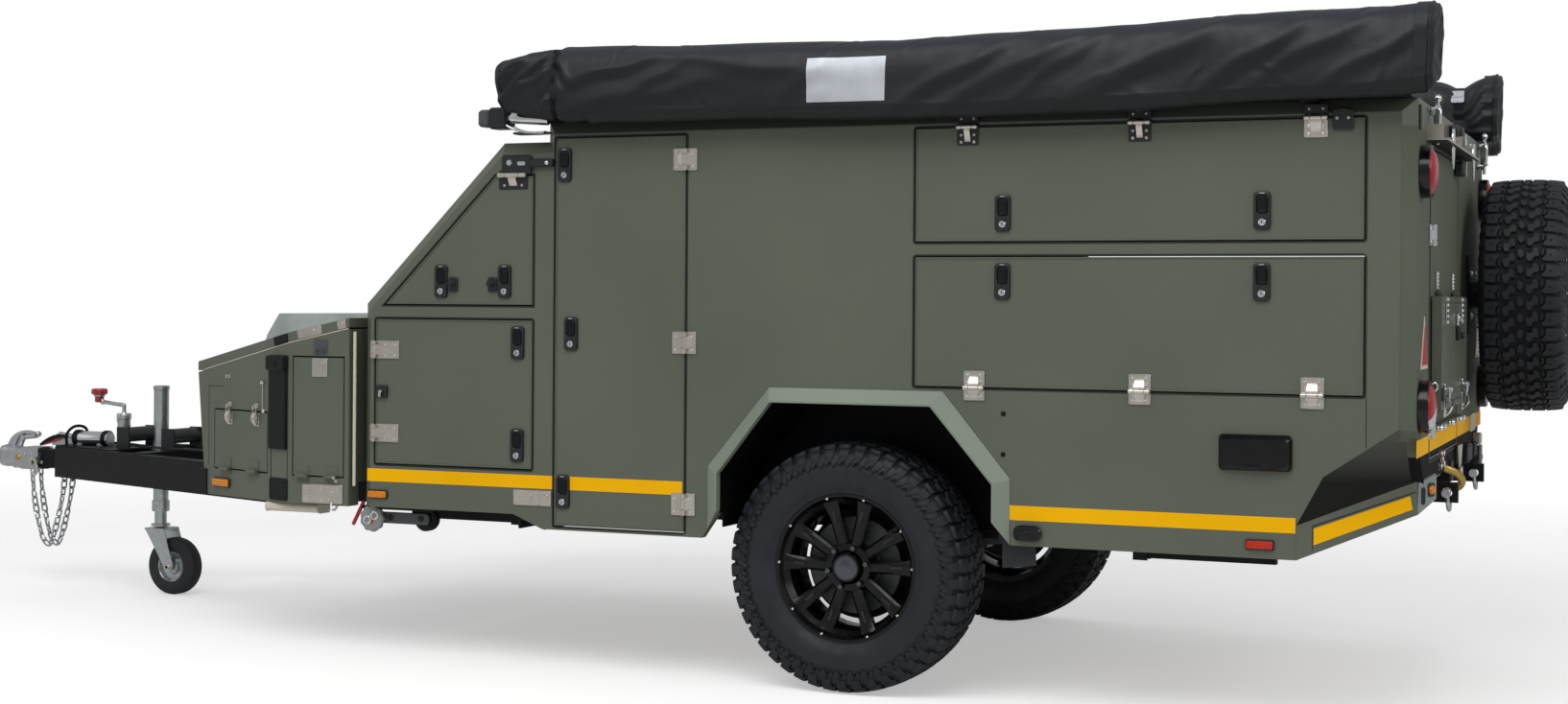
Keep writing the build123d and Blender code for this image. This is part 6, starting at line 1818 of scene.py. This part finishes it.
def build_shelf_gear():
    """Stays, hanging plates, catches and the bent brackets along the eave."""
    outline = smooth_path([(-.012, 0), (-.030, -.034), (-.020, -.074), (.000, -.118), (.018, -.084),
                           (.034, -.040), (.026, -.006), (.004, .006)], 3)[:-1]
    teardrop = plate(outline, -.002, .003, .0012)
    chrome = [tail(teardrop, -.560, 1.722, .052), tail(teardrop, .060, 1.722, .052)]
    for y in (-.720, .760):
        hoop = smooth_path([(TAIL + .004, y, 1.694), (TAIL + .026, y, 1.698), (TAIL + .030, y, 1.730),
                            (TAIL + .030, y, 1.764), (TAIL + .022, y + .022, 1.776),
                            (TAIL + .014, y + .052, 1.766), (TAIL + .014, y + .066, 1.730),
                            (TAIL + .026, y + .076, 1.700)], 6)
        chrome.append(pipe(hoop, .0065, (0, 1, 0), 12))
        chrome += [tail(turned([(.011, 0), (.013, .003), (.011, .009), (.003, .010)], 18), y + dy, z)
                   for dy, z in ((0, 1.694), (.052, 1.766))]
        chrome.append(bar((TAIL + .022, y + .030, 1.668), (TAIL + .022, y + .030, 1.800), .0055, 12, .002))
        chrome.append(tail(turned([(.004, 0), (.010, .003), (.012, .010), (.008, .017), (.002, .019)], 18),
                           y + .030, 1.800, .014))
    outline = [(-.034, -.026), (.034, -.026), (.034, .004), (.016, .034), (-.008, .036), (-.034, .010)]
    bent = plate(outline, .0002, .0050, .0015)
    chrome += [tail(bent, .330, 1.738), tail(put(bent, ey=-Z, ez=Y), .330, 1.712, .004)]
    chrome += [tail(screw(.0075, .005), y, 1.750) for y in (.500, .560)]
    piece("shelf_stays", chrome, "chrome", ROOT, "stainless")
    dark = [tail(tile(.070, .046, .008, .0002, .030, .006), .020, 1.640)]
    piece("rear_catch", dark, "black_plastic", "rear_door", "stainless")
    bright = [tail(bar((.034, -.022, .031), (.034, .026, .031), .004, 10, .001), .020, 1.640)]
    bright += [tail(shape, -.640, 1.400) for shape in stud_plate(.030, .044, .004, 1)]
    piece("rear_catch_bar", bright, "chrome", "rear_door", "stainless")
    eave = [tail(tile(.064, .052, .008, .0002, .030, .006), -.130, 1.742),
            tail(tile(.050, .030, .006, .020, .040, .006), -.130, 1.748)]
    piece("eave_catch", eave, "black_plastic", ROOT, "stainless")
    oval = [tail(plate(rounded(.036, .072, .0175, 6), .0002, .0045, .0012), y, 1.728) for y in (-.934, .934)]
    piece("rear_corner_recess", oval, "seal_rubber")
    run = np.linspace((TAIL + .031, -.785, 1.6745), (TAIL + .031, .145, 1.6745), 8)
    lip = along_path(rounded(.056, .0045, .001, 2), run)
    piece("shelf_lip", [lip], "satin_black", ROOT, "stainless")


def skirt_frame():
    """Origin, along and outward directions of the tapered rear skirt."""
    foot, end = at(3.098, -1.000, 0), at(3.400, -.795, 0)
    along = end - foot
    length = np.linalg.norm(along)
    along = along / length
    return foot, along, np.array([along[1], -along[0], 0]), length


def build_tail_skirt():
    """Stripe, seams, end plate, slot and lamp of the tapered rear skirt."""
    foot, along, out, length = skirt_frame()
    strip = plate(np.array([(.052, .5345), (length - .014, .6310), (length - .022, .6690), (.052, .5810)]),
                  .0003, .0011, .0003)
    pair("skirt_stripe", [put(strip, foot, along, Z, out)], "yellow_vinyl")
    fold = plate(rounded(.0022, .070, .0008, 1), .0001, .0006, .0002)
    edge = plate(np.array([(.048, .5855), (length - .006, .6780), (length - .006, .6812), (.048, .5890)]),
                 .0002, .0009, .0002)
    pair("skirt_seams", [put(fold, foot + along * .049 + Z * .553, along, Z, out),
                         put(edge, foot, along, Z, out)], "seal_rubber")
    # pale end plate that turns the corner, with a dark slot and a round lamp
    corner, end = at(3.400, -.7945, 0), at(3.4415, -.7150, 0)
    way = end - corner
    wide = np.linalg.norm(way)
    way = way / wide
    face = np.array([way[1], -way[0], 0])
    cap = plate(np.array([(0, .6150), (wide, .6560), (wide, .7280), (.004, .7060)]), -.008, .003, .0012)
    pair("skirt_end_plate", [put(cap, corner, way, Z, face)], "skirt_paint")
    dark_slot = plate(rounded(.020, .050, .009, 4, (.024, .668)), .0028, .0048, .001)
    pair("skirt_slot", [put(dark_slot, corner, way, Z, face)], "seal_rubber")
    lamp = put(turned([(.0125, .0002), (.0135, .004), (.0100, .010), (.002, .0115)], 24), (.062, .684, .0028))
    bezel = plate(rounded(.034, .040, .008, 4, (.062, .684)), .0028, .0052, .001)
    pair("skirt_lamp", [put(lamp, corner, way, Z, face)], "amber_lens", ROOT, "lamp_red")
    pair("skirt_lamp_bezel", [put(bezel, corner, way, Z, face)], "black_plastic")
    ring = [put(pipe(smooth_path([(-.016, 0, .004), (-.010, .014, .009), (.004, .016, .010),
                                  (.014, .004, .008), (.008, -.012, .006)], 5), .0035, (0, 0, 1), 8),
                foot + along * .290 + Z * .740 - out * .030, along, Z, out)]
    pair("skirt_ring", ring, "stainless", ROOT, "stainless")


def build_hitch():
    """Bracket plates, hook, ringed plate and shackles below the tail."""
    dark = [put(block((0, -.090, 0), (.060, .090, .060), .006), at(3.376, .360, .690)),
            put(block((0, -.060, 0), (.050, .060, .050), .006), at(3.380, .640, .690)),
            put(block((0, -.045, 0), (.046, .045, .070), .006), at(3.376, -.060, .655))]
    piece("hitch_receiver", dark, "satin_black", ROOT, "frame_steel")
    outline = np.array([(-.046, -.040), (.040, -.032), (.050, .022), (.012, .046), (-.044, .040)])
    bracket = [put(plate(outline, -.004, .004, .0012), at(3.410, -.330, .742), Y * 1.5, Z, X),
               put(tile(.090, .030, .006, 0, .020, .004), at(3.390, -.330, .706), Y, Z, X)]
    bracket += [put(hex_bolt(.009, .010), at(3.414, -.330 + y, .742 + z), Y, Z, X) for y, z in
                ((-.044, -.018), (.040, -.014), (-.036, .020), (.030, .018), (0, .002))]
    bracket += [put(block((0, -.030, 0), (.050, .030, .040), .004), at(3.390, .720, .728))]
    piece("hitch_bracket", bracket, "stainless", ROOT, "frame_steel")
    hook = pipe(smooth_path([at(3.380, -.230, .716), at(3.420, -.220, .708), at(3.450, -.200, .692),
                             at(3.462, -.180, .670), at(3.452, -.165, .650), at(3.428, -.160, .644),
                             at(3.408, -.160, .654)], 6), .012, (0, 1, 0), 14)
    piece("tow_hook", [hook], "brass", ROOT, "frame_steel")
    shackles = []
    for y in (-.420, .420):
        bow = smooth_path([at(3.443, y - .016, .652), at(3.446, y - .026, .635), at(3.448, y - .026, .618),
                           at(3.449, y, .600), at(3.448, y + .026, .618), at(3.446, y + .026, .635),
                           at(3.443, y + .016, .652)], 5)
        shackles.append(pipe(bow, .0065, (1, 0, 0), 10))
        shackles.append(bar(at(3.443, y - .034, .652), at(3.443, y + .034, .652), .0085, 14))
        shackles.append(bar(at(3.443, y - .040, .652), at(3.443, y - .028, .652), .014, 14))
    piece("shackles", shackles, "zinc", ROOT, "frame_steel")
    plates = [put(plate(triangle(.110), -.003, .003, .001), at(3.428, .110, .762), Y, -Z, -X)]
    loop = np.column_stack([circle(.019, 16), np.zeros(16)])
    ring = [put(pipe(loop, .0045, (0, 0, 1), 8, True), at(3.432, .110, .674), Y, Z, X)]
    piece("chain_plate", plates + ring, "stainless", ROOT, "frame_steel")


# --------------------------------------------------------------------- stage

def build_camera(scene):
    """The camera: its axes are turned by yaw, then pitch, then roll."""
    camera = bpy.data.cameras.new("camera")
    camera.lens = 49.26
    camera.sensor_width = 36
    camera.shift_y = -.0297
    camera.clip_end = 100
    stand = bpy.data.objects.new("camera", camera)
    yaw, pitch, roll = .4012, -.0017, .0069
    right = np.array([math.cos(yaw), math.sin(yaw), 0])
    ahead = np.array([-math.sin(yaw), math.cos(yaw), 0])
    forward = math.cos(pitch) * ahead + math.sin(pitch) * Z
    up = -math.sin(pitch) * ahead + math.cos(pitch) * Z
    cx = math.cos(roll) * right + math.sin(roll) * up
    cy = -math.sin(roll) * right + math.cos(roll) * up
    turn = Matrix([list(cx), list(cy), list(-forward)]).transposed().to_4x4()
    stand.matrix_world = Matrix.Translation((3.4835, -7.070, 1.2054)) @ turn
    scene.collection.objects.link(stand)
    scene.camera = stand


def build_floor(scene):
    """A level disc whose rim is far outside the view. The camera sees it
    white, and it fades out far away."""
    glow = .42
    r = np.array([0, 2, 5, 10, 20, 40.0])
    a = angles(64)
    points = np.stack([r[:, None] * np.cos(a), r[:, None] * np.sin(a), 0 * r[:, None] * a], -1)
    verts, faces = grid(points, around=True)
    mesh = bpy.data.meshes.new("floor")
    mesh.from_pydata(verts.tolist(), [], [f[::-1] for f in faces])
    floor = bpy.data.objects.new("floor", mesh)
    scene.collection.objects.link(floor)
    n = Nodes("floor_paper")
    base = linear((236, 236, 236))
    n.link(n.mixed(n.fit(n.noise(3, 4), .3, .7), shade(base, .985), shade(base, 1.015)),
           n.shader.inputs["Base Color"])
    n.set(Roughness=.9, Specular_IOR_Level=.1)
    n.bump(n.noise(300, 2), .05, .0005)
    rays = n.new("ShaderNodeLightPath")
    n.set(Emission_Strength=0.0)
    n.shader.inputs["Emission Color"].default_value = (1, 1, 1, 1)
    n.link(n.math("MULTIPLY", rays.outputs["Is Camera Ray"], glow), n.shader.inputs["Emission Strength"])
    length = n.new("ShaderNodeVectorMath", operation="LENGTH")
    n.link(n.coords, length.inputs[0])
    n.link(n.fit(length.outputs["Value"], 4.2, 7.5, 1.0, 0.0), n.shader.inputs["Alpha"])
    mesh.materials.append(n.material)


def build_world(scene, level):
    """Light from all round: seen directly it is white, and it lights the
    caravan at its own level."""
    world = bpy.data.worlds.new("studio")
    scene.world = world
    world.use_nodes = True
    tree = world.node_tree
    background = tree.nodes["Background"]
    rays = tree.nodes.new("ShaderNodeLightPath")
    seen = tree.nodes.new("ShaderNodeMath")
    seen.operation = "MAXIMUM"
    tree.links.new(rays.outputs["Is Camera Ray"], seen.inputs[0])
    tree.links.new(rays.outputs["Is Transmission Ray"], seen.inputs[1])
    strength = tree.nodes.new("ShaderNodeMapRange")
    strength.inputs["To Min"].default_value = level
    strength.inputs["To Max"].default_value = 1.0
    tree.links.new(seen.outputs[0], strength.inputs["Value"])
    tree.links.new(strength.outputs["Result"], background.inputs["Strength"])
    background.inputs["Color"].default_value = (1, 1, 1, 1)


def build_stage(level, key):
    """Camera, floor, light from all round and three soft lamps."""
    scene = bpy.context.scene
    scene.view_settings.view_transform = "Standard"
    build_camera(scene)
    build_floor(scene)
    build_world(scene, level)

    def lamp(name, place, target, size, power):
        """A rectangular area lamp aimed at a point."""
        data = bpy.data.lights.new(name, "AREA")
        data.shape = "RECTANGLE"
        data.size, data.size_y = size
        data.energy = power
        thing = bpy.data.objects.new(name, data)
        aim = (Vector(target) - Vector(place)).to_track_quat("-Z", "Y")
        thing.matrix_world = Matrix.Translation(place) @ aim.to_matrix().to_4x4()
        scene.collection.objects.link(thing)

    lamp("key", (1.0, -5.5, 6.5), (0, 0, .8), (7, 4), key)
    lamp("fill", (-7.0, -3.0, 3.0), (0, 0, 1.0), (4, 3), key * .05)
    lamp("rear", (7.5, -2.0, 4.0), (1, 0, 1.0), (3, 3), key * .25)


# ----------------------------------------------------------------- operators

def screen_colour(title, about, colour):
    """A colour property that holds screen values from 0 to 1."""
    return bpy.props.FloatVectorProperty(name=title, description=about, subtype="COLOR_GAMMA", min=0, max=1,
                                         default=[c / 255 for c in colour])


class CaravanSettings(bpy.types.PropertyGroup):
    """Sizes and colours that the build steps share"""
    paint: screen_colour("Body paint", "Colour of the body's sheets, doors and hatches", OLIVE)
    stripe: screen_colour("Stripe colour", "Colour of the stripes on the sides and the rear", YELLOW)
    stripe_low: bpy.props.FloatProperty(name="Stripe foot",
                                        description="Height of the yellow stripe's lower edge",
                                        default=.596, unit="LENGTH")
    stripe_high: bpy.props.FloatProperty(name="Stripe head",
                                         description="Height of the yellow stripe's upper edge",
                                         default=.639, unit="LENGTH")
    pitches: bpy.props.IntProperty(name="Tread pitches", description="Repeats of the tread round a tyre",
                                   default=46, min=12, max=60)
    ambient: bpy.props.FloatProperty(name="Ambient", description="Strength of the light from all round",
                                     default=.42)
    key: bpy.props.FloatProperty(name="Key light", description="Power of the main soft light in watts",
                                 default=300.0)


def settings(context):
    """The sizes and colours set in the panel."""
    return context.scene.caravan


class CARAVAN_OT_paint(bpy.types.Operator):
    """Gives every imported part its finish"""
    bl_idname = "caravan.paint"
    bl_label = "Paint the packed parts"

    def execute(self, context):
        paint, stripe = settings(context).paint, settings(context).stripe
        make_finishes([c * 255 for c in paint], [c * 255 for c in stripe])
        build_paint()
        return {"FINISHED"}


class CARAVAN_OT_wheels(bpy.types.Operator):
    """Builds the road wheels and the spare with their tyres"""
    bl_idname = "caravan.wheels"
    bl_label = "Wheels"

    def execute(self, context):
        build_wheels(settings(context).pitches)
        return {"FINISHED"}


class CARAVAN_OT_seals(bpy.types.Operator):
    """Lays the rubber seals and edge strips round the doors and hatches"""
    bl_idname = "caravan.seals"
    bl_label = "Door seals"

    def execute(self, context):
        build_seals()
        return {"FINISHED"}


class CARAVAN_OT_hinges(bpy.types.Operator):
    """Covers the side hinges"""
    bl_idname = "caravan.hinges"
    bl_label = "Hinges"

    def execute(self, context):
        build_hinges()
        return {"FINISHED"}


class CARAVAN_OT_latches(bpy.types.Operator):
    """Fits the latches, knobs and the small lock"""
    bl_idname = "caravan.latches"
    bl_label = "Latches"

    def execute(self, context):
        build_latches()
        return {"FINISHED"}


class CARAVAN_OT_stripes(bpy.types.Operator):
    """Lays the yellow stripes"""
    bl_idname = "caravan.stripes"
    bl_label = "Stripes"

    def execute(self, context):
        build_stripes(settings(context).stripe_low, settings(context).stripe_high)
        return {"FINISHED"}


class CARAVAN_OT_stage(bpy.types.Operator):
    """Sets the camera, the lights and the floor"""
    bl_idname = "caravan.stage"
    bl_label = "Stage"

    def execute(self, context):
        build_stage(settings(context).ambient, settings(context).key)
        return {"FINISHED"}


class CARAVAN_OT_nose(bpy.types.Operator):
    """Fits out the nose box"""
    bl_idname = "caravan.nose"
    bl_label = "Nose box"

    def execute(self, context):
        build_nose_trim()
        build_locker_trim()
        build_lid_trim()
        build_locker_step()
        build_corner_roller()
        return {"FINISHED"}


class CARAVAN_OT_drawbar(bpy.types.Operator):
    """Fits out the drawbar and the jockey wheel"""
    bl_idname = "caravan.drawbar"
    bl_label = "Drawbar"

    def execute(self, context):
        build_chain()
        build_handbrake()
        build_damper()
        build_crank()
        build_mast()
        build_cables()
        build_coupling()
        build_jockey_wheel()
        return {"FINISHED"}


class CARAVAN_OT_fittings(bpy.types.Operator):
    """Fits the side lamps, brackets, step and charging hatch"""
    bl_idname = "caravan.fittings"
    bl_label = "Side fittings"

    def execute(self, context):
        build_side_fittings()
        return {"FINISHED"}


class CARAVAN_OT_awnings(bpy.types.Operator):
    """Builds the two awnings in their bags"""
    bl_idname = "caravan.awnings"
    bl_label = "Awnings"

    def execute(self, context):
        build_awnings()
        return {"FINISHED"}


class CARAVAN_OT_rear(bpy.types.Operator):
    """Fits out the rear face with its lamps, locks and stays"""
    bl_idname = "caravan.rear"
    bl_label = "Rear face"

    def execute(self, context):
        build_lamps()
        build_reflectors()
        build_rear_door_trim()
        build_flap_trim()
        build_shelf_gear()
        build_carrier_bolts()
        return {"FINISHED"}


class CARAVAN_OT_tail(bpy.types.Operator):
    """Fits the skirt's trim and the hitch gear under the tail"""
    bl_idname = "caravan.tail"
    bl_label = "Tail and hitch gear"

    def execute(self, context):
        build_tail_skirt()
        build_hitch()
        return {"FINISHED"}


STEPS = (CARAVAN_OT_paint, CARAVAN_OT_wheels, CARAVAN_OT_nose, CARAVAN_OT_drawbar, CARAVAN_OT_fittings,
         CARAVAN_OT_awnings, CARAVAN_OT_rear, CARAVAN_OT_tail, CARAVAN_OT_seals, CARAVAN_OT_hinges,
         CARAVAN_OT_latches, CARAVAN_OT_stripes, CARAVAN_OT_stage)


class CARAVAN_PT_build(bpy.types.Panel):
    """Lists the build steps"""
    bl_idname = "CARAVAN_PT_build"
    bl_label = "Caravan"
    bl_space_type = "VIEW_3D"
    bl_region_type = "UI"
    bl_category = "Caravan"

    def draw(self, context):
        for name in ("paint", "stripe", "stripe_low", "stripe_high", "pitches", "ambient", "key"):
            self.layout.prop(settings(context), name)
        for step in STEPS:
            self.layout.operator(step.bl_idname)


def register():
    """Makes the classes and the settings known."""
    for kind in (CaravanSettings, *STEPS, CARAVAN_PT_build):
        bpy.utils.register_class(kind)
    bpy.types.Scene.caravan = bpy.props.PointerProperty(type=CaravanSettings)


def unregister():
    """Takes them away again."""
    del bpy.types.Scene.caravan
    for kind in reversed((CaravanSettings, *STEPS, CARAVAN_PT_build)):
        bpy.utils.unregister_class(kind)


def main():
    """Runs every step in order."""
    register()
    for step in STEPS:
        group, name = step.bl_idname.split(".")
        getattr(getattr(bpy.ops, group), name)()


if __name__ == "__main__":
    main()
